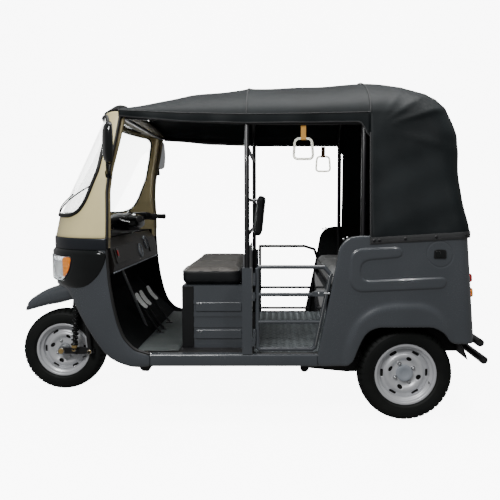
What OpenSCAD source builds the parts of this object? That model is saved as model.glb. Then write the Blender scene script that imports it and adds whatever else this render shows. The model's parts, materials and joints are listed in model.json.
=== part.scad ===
// Three-wheeled passenger tricycle: one steered front wheel, a driver's seat at the front,
// a passenger bench at the back and a soft hood over a tube frame.
// Millimetres. +X is forward, +Y is the vehicle's left, +Z is up.
// The origin lies on the ground, under the middle of the vehicle's length and width.

/* [Chassis] */
// Distance between the front axle and the rear axle
wheelbase = 2030; // [1930:5:2130]
// Distance from the rear axle to the back of the lower bumper tube
rear_over = 440; // [435:5:500]
// Distance between the middles of the two rear tyres
track = 1090; // [1070:5:1100]
// Height of the chassis rails
rail_h = 56; // [40:2:58]
// Radius of the two bumper tubes
bumper_r = 21; // [14:1:24]
// Half length of the bumper tubes
bumper_half = 600; // [520:5:630]

/* [Wheels] */
// Outer radius of the tyres
tyre_r = 254; // [246:1:258]
// Width of the tyres
tyre_w = 145; // [125:1:150]
// Radius at which a tyre sits on its rim
rim_r = 158; // [150:1:165]
// Number of slots round a wheel disc
slots = 8; // [4:1:10]
// Number of wheel nuts
nuts = 4; // [3:1:6]

/* [Body shell] */
// Width of the body without the arch flares
body_w = 1300; // [1270:5:1340]
// Thickness of the pressed panels
skin = 6; // [4:0.5:7]
// Height of the floor above the ground
floor_z = 376; // [374:1:390]
// Height at which the painted screen surround starts
belt_z = 988; // [984:1:1010]
// How far the nose stands in front of the door edge
nose_len = 425; // [400:5:440]
// How far the arch flares stand out from the side
flare = 14; // [6:1:20]
// How far the pressed rib stands out from the side
rib_out = 6; // [3:1:10]
// Number of raised ribs on the floor
floor_ribs = 11; // [5:1:14]

/* [Screen and lamps] */
// Height of the top of the windscreen
screen_top = 1650; // [1635:5:1655]
// How far the lamp housings stand out from the nose
pod_out = 22; // [14:1:26]
// Height of the head lamp lenses
lens_h = 142; // [110:2:150]

/* [Steering] */
// Angle between the steering axis and the vertical
rake = 24; // [22:0.5:26]
// How far the steering axis passes in front of the front axle
axis_lead = 62; // [50:1:70]
// Half distance between the fork legs
fork_half = 106; // [105:1:112]
// Height of the handlebar grips
grip_z = 1082; // [1070:1:1100]
// Radius of the front springs
spring_r = 24; // [18:1:25]
// Number of turns of a front spring
spring_turns = 9; // [5:1:11]

/* [Seats] */
// Height of the top of the driver's seat box
seat_z = 722; // [680:2:740]
// Thickness of the driver's cushion
cushion_h = 92; // [70:2:110]
// Half width of the driver's seat
seat_half = 500; // [420:5:520]
// Height of the top of the passenger cushion
bench_z = 805; // [780:1:820]
// Half width of the passenger bench
bench_half = 560; // [500:5:600]

/* [Hood] */
// Height of the top of the hood
hood_z = 1885; // [1865:1:1910]
// Thickness of the hood
hood_t = 5; // [3:0.5:6]
// Radius of the upright tubes of the roof frame
post_r = 14; // [10:0.5:14]

/* [Gate] */
// Radius of the gate's tubes
gate_r = 11; // [8:0.5:11]
// Height of the gate's top rail
gate_top = 838; // [800:1:850]
// Number of rails between the gate's top and bottom rails
gate_mid = 2; // [1:1:4]

/* [Hidden] */

total = tyre_r + wheelbase + rear_over;
xf = total / 2 - tyre_r;
xr = xf - wheelbase;
hw = body_w / 2;
tw = tyre_w / 2;
wheel_y = track / 2;
gap = 0.3;

// Front parts are placed from the front axle, rear parts from the rear axle.
xdoor = xf - 453;
xnose = xdoor + nose_len;
xb = xr + 849;
xpost = xr + 205;
sill_bot = 310;
rail_bot = floor_z - skin - rail_h;
rail_y = 300;
rail_w = 40;
nose_n = 2.2;

// Steering axis in its own frame: z runs up the column from the height of the axle.
axis_x = xf + axis_lead;
crown_w = 470;
bar_w = (grip_z - 12 - tyre_r) / cos(rake);

// Rear wall: leans forward towards the top.
wall_lean = 4.57;
wall_x = xr - 357;
wall_z = 475;
corner_r = 60;

// Rows of the hood's roof from the rear: x, half width, valance bottom, crease, crown.
ROOF = [
  [xpost, 605, 1590, 1640, hood_z],
  [xpost + 330, 612, 1586, 1632, hood_z - 18],
  [xb, 612, 1583, 1628, hood_z - 32],
  [xb + 330, 600, 1592, 1636, hood_z - 84],
  [xf - 508, 572, 1625, 1655, hood_z - 173]
];
ROW_X = 0;
ROW_B = 1;
ROW_ZB = 2;
ROW_ZC = 3;
ROW_ZT = 4;

// Levels of the hood's back: height, distance behind the rear posts, half width, corner radius.
HOOD = [
  [955, 529, hw + hood_t + gap, 65.3],
  [1006, 526, hw + hood_t + gap, 65.3],
  [1080, 520, 648, 80],
  [1281, 500, 630, 110],
  [1529, 487, 612, 150],
  [1640, 452, 605, 190],
  [hood_z - 150, 410, 545, 210],
  [hood_z - 90, 330, 442, 210],
  [hood_z - 45, 220, 318, 170],
  [hood_z - 18, 130, 205, 110],
  [hood_z - 4, 70, 100, 60]
];

// Levels of the screen: height, door edge, nose, half width.
SCREEN = [
  [belt_z, xdoor, xnose, hw - 8],
  [1105, xdoor - 9, xnose - 28, hw - 20],
  [screen_top, xdoor - 66, xnose - 320, hw - 88]
];

// Side outline of the glass opening.
GLASS = [
  [xf + 200, 1105], [xf - 330, 1105], [xf - 372, 1125], [xf - 403, 1165],
  [xf - 427, 1310], [xf - 468, 1560], [xf - 480, 1625], [xf - 460, 1640], [xf + 200, 1640]
];

function arc_pts(cx, cy, r, a0, a1, n) =
  [for (i = [0 : n]) let (a = a0 + (a1 - a0) * i / n) [cx + r * cos(a), cy + r * sin(a)]];

function round_rect(w, h, r) = concat(
  arc_pts(w / 2 - r, h / 2 - r, r, 0, 90, 5),
  arc_pts(r - w / 2, h / 2 - r, r, 90, 180, 5),
  arc_pts(r - w / 2, r - h / 2, r, 180, 270, 5),
  arc_pts(w / 2 - r, r - h / 2, r, 270, 360, 5));

function power(v, p) = sign(v) * pow(abs(v), p);

// Rounded nose in plan, from the right door edge round the front to the left one.
function nose_plan(x0, nose, b, k = 16) =
  [for (i = [-k : k]) let (a = 90 * i / k)
    [x0 + (nose - x0) * pow(max(0, cos(a)), 2 / nose_n), b * power(sin(a), 2 / nose_n)]];

function cowl_plan(inset, back) = concat(
  [[back, -hw + inset]],
  nose_plan(xdoor, xnose - inset, hw - inset),
  [[back, hw - inset]]);

// Back of the hood in plan, counter-clockwise seen from above.
function hood_plan(x0, back, b, r) = concat(
  [[x0, b]],
  arc_pts(back + r, b - r, r, 90, 180, 6),
  arc_pts(back + r, r - b, r, 180, 270, 6),
  [[x0, -b]]);

function at_z(pts, z) = [for (p = pts) [p[0], p[1], z]];

// Cross-section of the roof at one row, over the crown from the left to the right.
function roof_row(x, b, zb, zc, zt, k = 9) = concat(
  [[x, b, zb]],
  [for (i = [0 : 2 * k]) let (a = 90 * i / k)
    [x, b * power(cos(a), 2 / 1.8), zc + (zt - zc) * pow(max(0, sin(a)), 2 / 1.8)]],
  [[x, -b, zb]]);

// Solid skinned over a stack of loops with equal numbers of points.
module loft(loops) {
  n = len(loops[0]);
  m = len(loops);
  points = [for (l = loops) each l];
  sides = [for (i = [0 : m - 2]) for (j = [0 : n - 1])
    let (a = i * n + j, b = i * n + (j + 1) % n, c = a + n, d = b + n)
    each [[a, c, d], [a, d, b]]];
  caps = [[for (j = [0 : n - 1]) j], [for (j = [n - 1 : -1 : 0]) (m - 1) * n + j]];
  polyhedron(points, concat(sides, caps));
}

// Outline in the side view, from one y to another.
module side(pts, y0, y1) {
  translate([0, y1, 0])
    rotate([90, 0, 0])
      linear_extrude(y1 - y0)
        polygon(pts);
}

module box(x0, x1, y0, y1, z0, z1) {
  translate([x0, y0, z0])
    cube([x1 - x0, y1 - y0, z1 - z0]);
}

module both() {
  children();
  mirror([0, 1, 0])
    children();
}

// Round bar between two points.
module bar(a, b, r) {
  v = b - a;
  long = norm(v);
  translate(a)
    rotate([0, acos(v[2] / long), atan2(v[1], v[0])])
      cylinder(r = r, h = long);
}

// Bent tube through a list of points.
module tube(pts, r) {
  for (i = [0 : len(pts) - 2])
    bar(pts[i], pts[i + 1], r);
  if (len(pts) > 2)
    for (i = [1 : len(pts) - 2])
      translate(pts[i])
        sphere(r = r + 0.4, $fn = 20);
}

function unit(v) = v / norm(v);

// Tube with mitred bends through points that lie in one plane; n is the plane's normal.
module sweep(pts, r, n, sides = 12) {
  k = len(pts);
  loft([for (i = [0 : k - 1])
    let (t0 = i > 0 ? unit(pts[i] - pts[i - 1]) : unit(pts[1] - pts[0]),
      t1 = i < k - 1 ? unit(pts[i + 1] - pts[i]) : t0,
      t = unit(t0 + t1),
      m = cross(n, t) / (t * t1))
    [for (j = [0 : sides - 1]) let (a = 360 * (j + 0.5) / sides)
      pts[i] + r * cos(a) * m + r * sin(a) * n]]);
}

// Closed ring of tube through points in one plane; n is the plane's normal.
module ring(pts, r, n, sides = 12) {
  k = len(pts);
  loops = [for (i = [0 : k - 1])
    let (t0 = unit(pts[i] - pts[(i + k - 1) % k]), t1 = unit(pts[(i + 1) % k] - pts[i]),
      t = unit(t0 + t1), m = cross(n, t) / (t * t1))
    [for (j = [0 : sides - 1]) let (a = 360 * (j + 0.5) / sides)
      pts[i] + r * cos(a) * m + r * sin(a) * n]];
  faces = [for (i = [0 : k - 1]) for (j = [0 : sides - 1])
    let (a = i * sides + j, b = i * sides + (j + 1) % sides,
      c = ((i + 1) % k) * sides + j, d = ((i + 1) % k) * sides + (j + 1) % sides)
    each [[a, c, d], [a, d, b]]];
  polyhedron([for (l = loops) each l], faces);
}

// Straight tube with flat facets; up is any direction across it.
module rod(a, b, r, up) {
  sweep([a, b], r, unit(cross(b - a, cross(up, b - a))));
}

module steer_frame() {
  translate([axis_x, 0, tyre_r])
    rotate([0, -rake, 0])
      children();
}

module wall_frame() {
  translate([wall_x, 0, wall_z])
    rotate([0, wall_lean, 0])
      children();
}

// Wheels.

module tyre() {
  r = tyre_r;
  b = rim_r + 0.4;
  edge = tw - 20.3;
  rotate([90, 0, 0])
    rotate_extrude($fn = 60)
      polygon([
        [b, -edge], [b + 9.4, -edge], [b + 18, -tw + 4], [(b + r) / 2, -tw],
        [r - 22, -tw + 4], [r - 7, -tw + 18], [r - 2, -tw + 34], [r, 0],
        [r - 2, tw - 34], [r - 7, tw - 18], [r - 22, tw - 4], [(b + r) / 2, tw],
        [b + 18, tw - 4], [b + 9.4, edge], [b, edge]]);
}

// Pressed wheel disc and rim; side is +1 when the disc's face looks to the left.
module rim(side, hub) {
  edge = tw - 20;
  face = 26;
  mirror([0, side > 0 ? 1 : 0, 0])
    rotate([90, 0, 0])
      difference() {
        union() {
          rotate([0, 0, 11])
            rotate_extrude($fn = 60)
            polygon([
              [rim_r - 5, -edge], [rim_r + 9, -edge - 0.1], [rim_r + 9, -edge - 6],
              [rim_r - 9, -edge - 6], [rim_r - 9, -edge + 12], [rim_r - 26, -edge + 24],
              [rim_r - 26, 4], [106, face - 4], [96, face], [90, face],
              [67, face - 12], [hub, face - 12], [hub, face - 6], [65, face - 6],
              [88, face + 6], [98, face + 6], [109, face + 1],
              [rim_r - 22, 10], [rim_r - 22, edge - 24], [rim_r - 9, edge - 12],
              [rim_r - 9, edge + 6], [rim_r + 9, edge + 6], [rim_r + 9, edge + 0.1],
              [rim_r, edge], [rim_r, edge - 10], [rim_r - 17, edge - 20],
              [rim_r - 17, -edge + 20], [rim_r, -edge + 10], [rim_r, -edge]]);
          for (i = [0 : nuts - 1])
            rotate([0, 0, 45 + 360 * i / nuts])
              translate([55, 0, face - 8])
                cylinder(r = 8.6, h = 12, $fn = 6);
        }
        for (i = [0 : slots - 1])
          rotate([0, 0, 360 * (i + 0.5) / slots])
            translate([121.5, 0, -10])
              linear_extrude(50)
                polygon([
                  [-6.5, -12], [-2, -17], [2, -17], [6.5, -12], [6.5, 12], [2, 17], [-2, 17],
                  [-6.5, 12]]);
        for (i = [0 : 3])
          rotate([0, 0, 90 * i])
            translate([77.5, 0, 0])
              cylinder(r = 9, h = 50, $fn = 20);
      }
}

module front_tyre() {
  color("#1c1c1e")
    translate([xf, 0, tyre_r])
      tyre();
}

module front_rim() {
  color("#c9ccd1")
    translate([xf, 0, tyre_r]) {
      rim(1, 27);
      rotate([90, 0, 0])
        rotate_extrude($fn = 40)
          polygon([[10.3, -70], [28, -70], [32, -40], [32, 40], [28, 70], [10.3, 70]]);
    }
}

module rear_rim(side) {
  translate([xr, side * wheel_y, tyre_r]) {
    rim(side, 42);
    mirror([0, side > 0 ? 1 : 0, 0])
      rotate([90, 0, 0])
        translate([0, 0, 14])
          cylinder(r = 43, h = 22, $fn = 40);
  }
}

module left_tyre() {
  color("#1c1c1e")
    translate([xr, wheel_y, tyre_r])
      tyre();
}

module left_rim() {
  color("#c9ccd1")
    rear_rim(1);
}

module right_tyre() {
  color("#1c1c1e")
    translate([xr, -wheel_y, tyre_r])
      tyre();
}

module right_rim() {
  color("#c9ccd1")
    rear_rim(-1);
}

// Chassis.

module frame() {
  color("#1d1e20") {
    // Two rails, raised over the rear axle, with their cross members.
    both()
      side([
        [xf - 568, rail_bot], [xf - 568, rail_bot + rail_h], [xr + 395, rail_bot + rail_h],
        [xr + 340, 400], [xr - 363, 400], [xr - 363, 400 - rail_h], [xr + 330, 400 - rail_h],
        [xr + 385, rail_bot]], rail_y - rail_w / 2, rail_y + rail_w / 2);
    for (x = [xf - 608, xf - 900, xb - 20, xr + 420])
      box(x, x + 40, -hw + 50, hw - 50, rail_bot + 8, rail_bot + rail_h);
    for (x = [xr + 200, xr - 190, xr - 350])
      box(x - 20, x + 20, -rail_y, rail_y, 350, 390);
    // Backbone up to the steering head, cut clear of the turning crown.
    difference() {
      union() {
        side([
          [xf - 578, rail_bot + 4], [xf - 578, 345], [xf - 203, 750], [xf - 153, 705],
          [xf - 458, 330]], -30, 30);
        steer_frame()
          translate([0, 0, crown_w + 32])
            cylinder(r = 32, h = 190, $fn = 48);
      }
      steer_frame() {
        cylinder(r = 22.3, h = crown_w + 240, $fn = 48);
        translate([0, 0, crown_w - 60])
          cylinder(r = 64, h = 92, $fn = 48);
      }
    }
    // Hangers for the rear arms and towers for the rear springs.
    both() {
      box(xr + 515, xr + 561, rail_y - 20, rail_y + 20, 240, rail_bot + 4);
      box(xr + 42, xr + 82, rail_y - 10, rail_y + 10, 390, 500);
      box(xr + 42, xr + 82, rail_y - 10, 425, 488, 500);
    }
  }
}

module floor() {
  color("#5c6269") {
    box(xr + 400, xf - 568, -hw + 50, hw - 50, floor_z - skin, floor_z);
    for (i = [0 : floor_ribs - 1])
      box(xb - 420, xb - 40, -510 + 1020 * i / (floor_ribs - 1) - 6,
        -510 + 1020 * i / (floor_ribs - 1) + 6, floor_z, floor_z + 3);
    // Raised plate under the driver's feet.
    box(xb + 378, xf - 678, -480, 480, floor_z, floor_z + 3);
    both() {
      box(xr + 478, xf - 671, hw - 50, hw, sill_bot, floor_z);
      box(xr + 440, xr + 478, hw - 50, hw - skin, sill_bot, floor_z);
    }
  }
}

// Front end.

COWL = [
  [xf - 671, sill_bot], [xf - 575, sill_bot - 8], [xf - 450, 350], [xf - 328, 519],
  [xf - 214, 713], [xf + 100, 713], [xf + 100, 926], [xf - 453, 926], [xf - 453, 900],
  [xf - 463, 750], [xf - 480, 640], [xf - 503, 540], [xf - 533, 460], [xf - 588, 400],
  [xf - 671, floor_z]];

module nose_ring(out, inset, z0, z1) {
  translate([0, 0, z0])
    linear_extrude(z1 - z0)
      difference() {
        polygon(cowl_plan(-out, xf - 700));
        polygon(cowl_plan(inset, xf - 701));
      }
}

module front_cowl() {
  color("#3f4249")
    intersection() {
      nose_ring(0, skin, sill_bot - 10, 926);
      side(COWL, -hw - 1, hw + 1);
    }
}

module cowl_band() {
  color("#6f7378")
    intersection() {
      nose_ring(3, skin, 926, belt_z);
      side([[xdoor, 900], [xf + 100, 900], [xf + 100, 1000], [xdoor, 1000]], -hw - 9, hw + 9);
    }
}

module bulkhead() {
  color("#17181a")
    difference() {
      intersection() {
        union() {
          side([
            [xf - 588, floor_z], [xf - 343, 615], [xf - 318, 650], [xf - 318, belt_z - 6],
            [xf - 312, belt_z - 6], [xf - 312, 648], [xf - 339, 611], [xf - 580, floor_z]],
            -hw + 5, hw - 5);
          box(xf - 408, xf + 20, -hw + 5, hw - 5, belt_z - 9, belt_z - 3);
        }
        translate([0, 0, 300])
          linear_extrude(720)
            polygon(cowl_plan(skin, xf - 720));
      }
      steer_frame()
        translate([0, 0, 640])
          cylinder(r = 44, h = 220, $fn = 48);
    }
}

module screen_loft(inset, z0, z1) {
  low = SCREEN[0];
  high = SCREEN[len(SCREEN) - 1];
  rows = [[z0, low[1], low[2], low[3]], SCREEN[1], [z1, high[1], high[2], high[3]]];
  loft([for (row = rows) at_z(nose_plan(row[1], row[2] - inset, row[3] - inset), row[0])]);
}

// Thin curved skin of the screen, open towards the cabin.
module screen_skin(out, inset) {
  difference() {
    screen_loft(-out, belt_z, screen_top);
    translate([-0.5, 0, 0])
      screen_loft(inset, belt_z - 1, screen_top + 1);
  }
}

module screen_surround() {
  color("#c2b488")
    difference() {
      screen_skin(0, skin);
      translate([0, hw, 0])
        rotate([90, 0, 0])
          linear_extrude(2 * hw)
            offset(r = 12)
              polygon(GLASS);
    }
}

module screen_seal() {
  color("#141415")
    intersection() {
      screen_skin(3, skin + 2);
      translate([0, hw, 0])
        rotate([90, 0, 0])
          linear_extrude(2 * hw)
            difference() {
              offset(r = 12)
                polygon(GLASS);
              polygon(GLASS);
            }
    }
}

module windscreen() {
  color([0.75, 0.85, 0.9, 0.4])
    intersection() {
      screen_skin(-1, 5);
      side(GLASS, -hw, hw);
    }
}

module header() {
  top = SCREEN[2];
  x_back = xf - 507.6;
  color("#141415")
    intersection() {
      difference() {
        loft([
          at_z(nose_plan(x_back - 40, top[2] + 12, top[3] + 6), screen_top),
          at_z(nose_plan(x_back - 40, top[2] + 14, top[3] + 6), screen_top + 14),
          at_z(nose_plan(x_back - 40, top[2] - 40, top[3] - 30), screen_top + 42),
          at_z(nose_plan(x_back - 40, top[2] - 110, top[3] - 130), screen_top + 56)]);
        loft([
          at_z(nose_plan(x_back - 60, top[2] - 24, top[3] - 30), screen_top - 1),
          at_z(nose_plan(x_back - 60, top[2] - 26, top[3] - 30), screen_top + 8),
          at_z(nose_plan(x_back - 60, top[2] - 80, top[3] - 66), screen_top + 34),
          at_z(nose_plan(x_back - 60, top[2] - 140, top[3] - 166), screen_top + 44)]);
      }
      box(x_back, xf, -hw, hw, 1600, 1800);
    }
}

POD = [
  [xf - 448, 925.7], [xf + 100, 925.7], [xf + 100, 860], [xf - 60, 770], [xf - 150, 735],
  [xf - 230, 722], [xf - 330, 727], [xf - 410, 790], [xf - 448, 850]];

module lamp_pods() {
  color("#101012")
    intersection() {
      nose_ring(pod_out, -gap, 700, 925.7);
      both()
        side(POD, 300, hw + 60);
    }
}

module head_lenses() {
  color([0.9, 0.93, 0.95, 0.6])
    intersection() {
      nose_ring(pod_out + 7, -pod_out - gap, 823 - lens_h / 2, 823 + lens_h / 2);
      both()
        side([[xf - 240, 700], [xf + 100, 700], [xf + 100, 920], [xf - 240, 920]], 330, 545);
    }
}

module indicators() {
  color("#e8912c")
    intersection() {
      nose_ring(pod_out + 6, -pod_out - gap, 823 - lens_h / 2 + 8, 823 + lens_h / 2);
      both()
        side([[xf - 330, 700], [xf + 100, 700], [xf + 100, 920], [xf - 330, 920]], 547, 600);
    }
}

module fascia() {
  color("#3a3634")
    difference() {
      side([
        [xf - 318, 800], [xf - 408, 784], [xf - 468, 800], [xf - 475, 840], [xf - 453, 930],
        [xf - 412, belt_z - 9], [xf - 318, belt_z - 9]], -hw + 70, hw - 70);
      both()
        side([
          [xf - 480, 850], [xf - 440, 850], [xf - 425, 920], [xf - 480, 920]], 330, 520);
    }
}

module pedals() {
  color("#b9bcc0")
    for (y = [-170, 40, 150]) {
      box(xf - 668, xf - 608, y - 25, y + 25, floor_z, floor_z + 8);
      bar([xf - 628, y, floor_z + 4], [xf - 508, y, 560], 8, $fn = 20);
      translate([xf - 508, y, 560])
        rotate([0, 33, 0])
          translate([-6, -35, -35])
            cube([12, 70, 90]);
    }
}

// Cabin.

module b_pillars() {
  color("#3f4249") {
    both()
      box(xb - 28, xb + 24, hw - 50, hw, floor_z, gate_top - 5);
    // Hinge lugs and pins for the gate on the left pillar.
    for (z = [440, 680]) {
      translate([xb - 38, hw + 2, z - 18])
        cylinder(r = 4, h = 46, $fn = 24);
      for (dz = [-18, 15]) {
        box(xb - 38, xb - 26, hw - 4, hw + 8, z + dz, z + dz + 10);
        translate([xb - 38, hw + 2, z + dz])
          cylinder(r = 6.5, h = 10, $fn = 24);
      }
    }
  }
}

module partition() {
  color("#9a9da0") {
    box(xb + 15, xb + 21, -hw + 70, hw - 70, floor_z, 890);
  }
}

module seat_box() {
  x0 = xb + 21;
  x1 = xb + 360;
  color("#4a4d54") {
    difference() {
      box(x0, x1, -seat_half, seat_half, floor_z, seat_z);
      box(x0 + skin, x1 - skin, -seat_half + skin, seat_half - skin, floor_z - 1, seat_z - skin);
    }
    // Pressed horizontal ribs on the two ends.
    both()
      for (z = [430, 490, 550, 620])
        side([[x0 + 10, z], [x1 - 40, z], [x1 - 40, z + 24], [x0 + 10, z + 24]],
          seat_half, seat_half + 4);
  }
}

module driver_cushion() {
  color("#2a2b2d")
    side([
      [xb + 22, seat_z + gap], [xb + 352, seat_z + gap], [xb + 366, seat_z + 12],
      [xb + 358, seat_z + cushion_h - 34], [xb + 330, seat_z + cushion_h - 10],
      [xb + 290, seat_z + cushion_h], [xb + 30, seat_z + cushion_h], [xb + 22, seat_z + 80]],
      -seat_half, seat_half);
}

module driver_backrest() {
  color("#151516") {
    side([
      [xb - 14, 968], [xb - 41, 1232], [xb - 90, 1226], [xb - 68, 962]], -230, 230);
    both()
      for (z = [1000, 1190])
        box(xb - 44, xb - 10.3, 140, 165, z - 8, z + 8);
  }
}

module engine() {
  color("#5a5d60")
    box(xr - 288, xr - 58, -190, 190, 390, 600);
}

// Points of a hoop under the hood, from one foot to the other.
function hoop(x, foot, b, zc, zt) = concat(
  [[x, b, foot]],
  [for (i = [0 : 8]) let (a = 22.5 * i)
    [x, b * power(cos(a), 2 / 1.9), zc + (zt - zc) * pow(max(0, sin(a)), 2 / 1.9)]],
  [[x, -b, foot]]);

module roof_frame() {
  b = hw - 50 - gap - post_r;
  color("#151517") {
    sweep(hoop(xb, floor_z, b, 1600, hood_z - 62), post_r, [1, 0, 0]);
    sweep(hoop(xpost + 30, 501, b - 6, 1600, hood_z - 32), post_r, [1, 0, 0]);
    both() {
      // Side rails along the crease and upright at the door edge.
      rod([xpost + 30, b - 6, 1590], [xb, b, 1590], 11, [0, 0, 1]);
      rod([xb, b, 1590], [xf - 520, b - 46, 1624], 10.6, [0, 0, 1]);
      rod([xdoor - 22, hw - 32, 890], [xdoor - 84, hw - 110, 1634], 12, [1, 0, 0]);
      box(xdoor - 34, xdoor + 14, hw - 44, hw - skin - gap - 0.4, 876, 898);
    }
    rod([xf - 521, -b + 42, 1625], [xf - 521, b - 42, 1625], 10, [0, 0, 1]);
    // Ladder bars behind the driver.
    for (z = [1000, 1190, 1470])
      rod([xb, -b, z], [xb, b, z], 10, [0, 0, 1]);
  }
}

module hood_back(inset, x0) {
  loft([for (row = HOOD) at_z(hood_plan(x0, xpost - row[1] + inset, row[2] - inset,
    row[3] - inset), row == HOOD[0] && inset > 0 ? row[0] - 1
    : row[0] - (row[0] > hood_z - 60 ? inset : 0))]);
}

module hood_roof(inset, x_shift) {
  loft([for (i = [0 : len(ROOF) - 1]) let (row = ROOF[i])
    roof_row(row[ROW_X] + (i == 0 ? -x_shift : i == len(ROOF) - 1 ? x_shift : 0),
      row[ROW_B] - inset, row[ROW_ZB] - (inset > 0 ? 30 : 0), row[ROW_ZC],
      row[ROW_ZT] - inset)]);
}

module canopy() {
  color("#1b1f20")
    difference() {
      union() {
        hood_back(0, xpost);
        hood_roof(0, 0);
      }
      hood_back(hood_t, xpost + 2);
      hood_roof(hood_t, 2);
      side([
        [xpost + 10, 940], [xpost + 10, 958], [xpost - 560, 993], [xpost - 560, 940]],
        -hw - 50, hw + 50);
    }
}

module guard_rail() {
  y = -hw + 20;
  color("#121213") {
    tube([
      [xb - 40, y, floor_z], [xb - 40, y, 858], [xb - 367, y, 858], [xb - 440, y, 835],
      [xb - 462, y, 775], [xb - 402.2, y, floor_z + 1.5]], 10, $fn = 20);
    bar([xb - 40, y, 552], [xb - 429, y, 552], 9, $fn = 20);
    bar([xb - 40, y, 398], [xb - 406, y, 398], 9, $fn = 20);
  }
}

module hand_grips() {
  b = hw - 50 - gap - post_r;
  color("#8f8a6a")
    for (row = [[xr + 552, 1], [xr + 352, -1]])
      translate([row[0], row[1] * (b - 4), 0]) {
        translate([0, 5, 1455])
          rotate([90, 0, 0])
            linear_extrude(10)
              difference() {
                polygon(round_rect(118, 120, 22));
                polygon(round_rect(90, 92, 14));
              }
        box(-14, 14, -3, 3, 1514, 1579);
      }
}

module mirrors() {
  color("#121214")
    both() {
      translate([xdoor - 58, hw + 68, 1480])
        rotate([0, 0, -12])
          rotate([90, 0, 90]) {
            linear_extrude(18)
              polygon(round_rect(116, 196, 44));
            translate([0, 0, 18])
              linear_extrude(16)
                polygon(round_rect(96, 176, 40));
          }
      tube([
        [xdoor - 58.2, hw - 70.5, 1374], [xdoor - 32, hw + 20, 1362],
        [xdoor - 40, hw + 62, 1378], [xdoor - 44, hw + 68, 1400]], 7, $fn = 20);
    }
}

// Rear end.

REAR = [
  [xr + 478, sill_bot], [xr + 478, floor_z], [xr + 437, 571], [xr + 407, 720],
  [xr + 380, 863], [xr + 374, 905], [xr + 356, 956], [xr + 332, 985], [xr + 302, 999],
  [xr + 262, 1003], [xr - 400, 1003], [xr - 400, 428], [xr - 237, 432], [xr - 219, 441],
  [xr - 194, 484], [xr - 141, 521], [xr + 167, 521], [xr + 213, 502], [xr + 250, 441],
  [xr + 291, 336], [xr + 322, 318]];

FLARE = [
  [xr + 250, 441], [xr + 334, 441], [xr + 279, 573], [xr + 196, 631], [xr + 103, 658],
  [xr - 83, 658], [xr - 158, 620], [xr - 216, 546], [xr - 232, 441], [xr - 219, 441],
  [xr - 194, 484], [xr - 141, 521], [xr + 167, 521], [xr + 213, 502]];

RIB = [
  [xr + 310, 751], [xr + 304, 890], [xr + 282, 922], [xr + 246, 936], [xr + 43, 944],
  [xr + 38, 892], [xr + 232, 872], [xr + 250, 855], [xr + 254, 790], [xr + 232, 766],
  [xr - 196, 785], [xr - 190, 729], [xr + 262, 710], [xr + 294, 722]];

module rear_plan(inset) {
  polygon(concat(
    arc_pts(corner_r, hw - corner_r, corner_r - inset, 90, 180, 8),
    arc_pts(corner_r, corner_r - hw, corner_r - inset, 180, 270, 8),
    [[950 + inset, inset - hw], [950 + inset, hw - inset]]));
}

module rear_body() {
  color("#3f4249")
    difference() {
      union() {
        intersection() {
          wall_frame()
            translate([0, 0, -190])
              linear_extrude(760)
                difference() {
                  rear_plan(0);
                  rear_plan(skin);
                }
          side(REAR, -hw - 1, hw + 1);
        }
        // Pins and lugs of the lid's hinges.
        wall_frame()
          for (y = LID_HINGES)
            for (dir = [-1, 1]) {
              box(-14, 1, y + dir * 24 - 3.7, y + dir * 24 + 3.7, 426, 438);
              translate([-8, y, 432])
                rotate([-90 * dir, 0, 0])
                  cylinder(r = 3, h = 26, $fn = 24);
            }
        both() {
          side(FLARE, hw, hw + flare);
          side(RIB, hw, hw + rib_out);
          // Wheel house over the tyre, with an inner wall.
          intersection() {
            translate([xr, hw - 2, tyre_r])
              rotate([90, 0, 0])
                difference() {
                  cylinder(r = 331, h = hw - 452, $fn = 60);
                  translate([0, 0, -1])
                    cylinder(r = 326, h = hw - 457, $fn = 60);
                }
            box(xr - 306, xr + 340, 440, hw, 345, 600);
          }
        }
      }
      // Opening for the lid in the back wall.
      wall_frame()
        box(-10, 30, -340, 340, 15, 425);
      // Groove round the filler flap and the recess of its lock, on the left side.
      translate([xr - 155, hw + 1, 878])
        rotate([90, 0, 0]) {
          difference() {
            cylinder(r = 70, h = 3, $fn = 48);
            translate([0, 0, -1])
              cylinder(r = 66, h = 5, $fn = 48);
          }
          translate([-24, -22, 0])
            cube([48, 44, 4.5]);
        }
    }
}

LID_HINGES = [-220, 220];

module rear_lid() {
  color("#3f4249")
    wall_frame() {
      box(0, skin, -334, 334, 21, 419);
      // Stiffening rim behind the panel.
      difference() {
        box(skin, skin + 14, -322, 322, 33, 407);
        box(skin - 1, skin + 15, -316, 316, 39, 401);
      }
      for (y = LID_HINGES) {
        translate([-8, y - 20, 432])
          rotate([-90, 0, 0])
            difference() {
              cylinder(r = 6.5, h = 40, $fn = 24);
              translate([0, 0, -1])
                cylinder(r = 3.3, h = 42, $fn = 24);
            }
        box(-12, -5, y - 20, y + 20, 405, 427.5);
        box(-12, 0, y - 20, y + 20, 398, 412);
      }
      box(-14, 0, -30, 30, 60, 84);
    }
}

module bench_base() {
  color("#33353a") {
    box(xr + 412, xr + 418, -445, 445, floor_z, bench_z - 116);
    box(xr - 125, xr + 412, -445, 445, bench_z - 122, bench_z - 116);
    box(xr - 52, xr - 46, -445, 445, 400, bench_z - 122);
  }
}

module bench_cushion() {
  color("#6d7073")
    side([
      [xr - 10, bench_z - 116 + gap], [xr + 412, bench_z - 116 + gap],
      [xr + 424, bench_z - 90], [xr + 420, bench_z - 34], [xr + 392, bench_z - 8],
      [xr + 350, bench_z], [xr - 10, bench_z]], -bench_half, bench_half);
}

module bench_backrest() {
  color("#5d6064")
    side([
      [xr - 12, bench_z + 1], [xr - 92, 1240], [xr - 110, 1256], [xr - 150, 1256],
      [xr - 170, 1240], [xr - 120, bench_z + 1], [xr - 118, bench_z - 116 + gap],
      [xr - 12, bench_z - 116 + gap]], -bench_half, bench_half);
}

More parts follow.
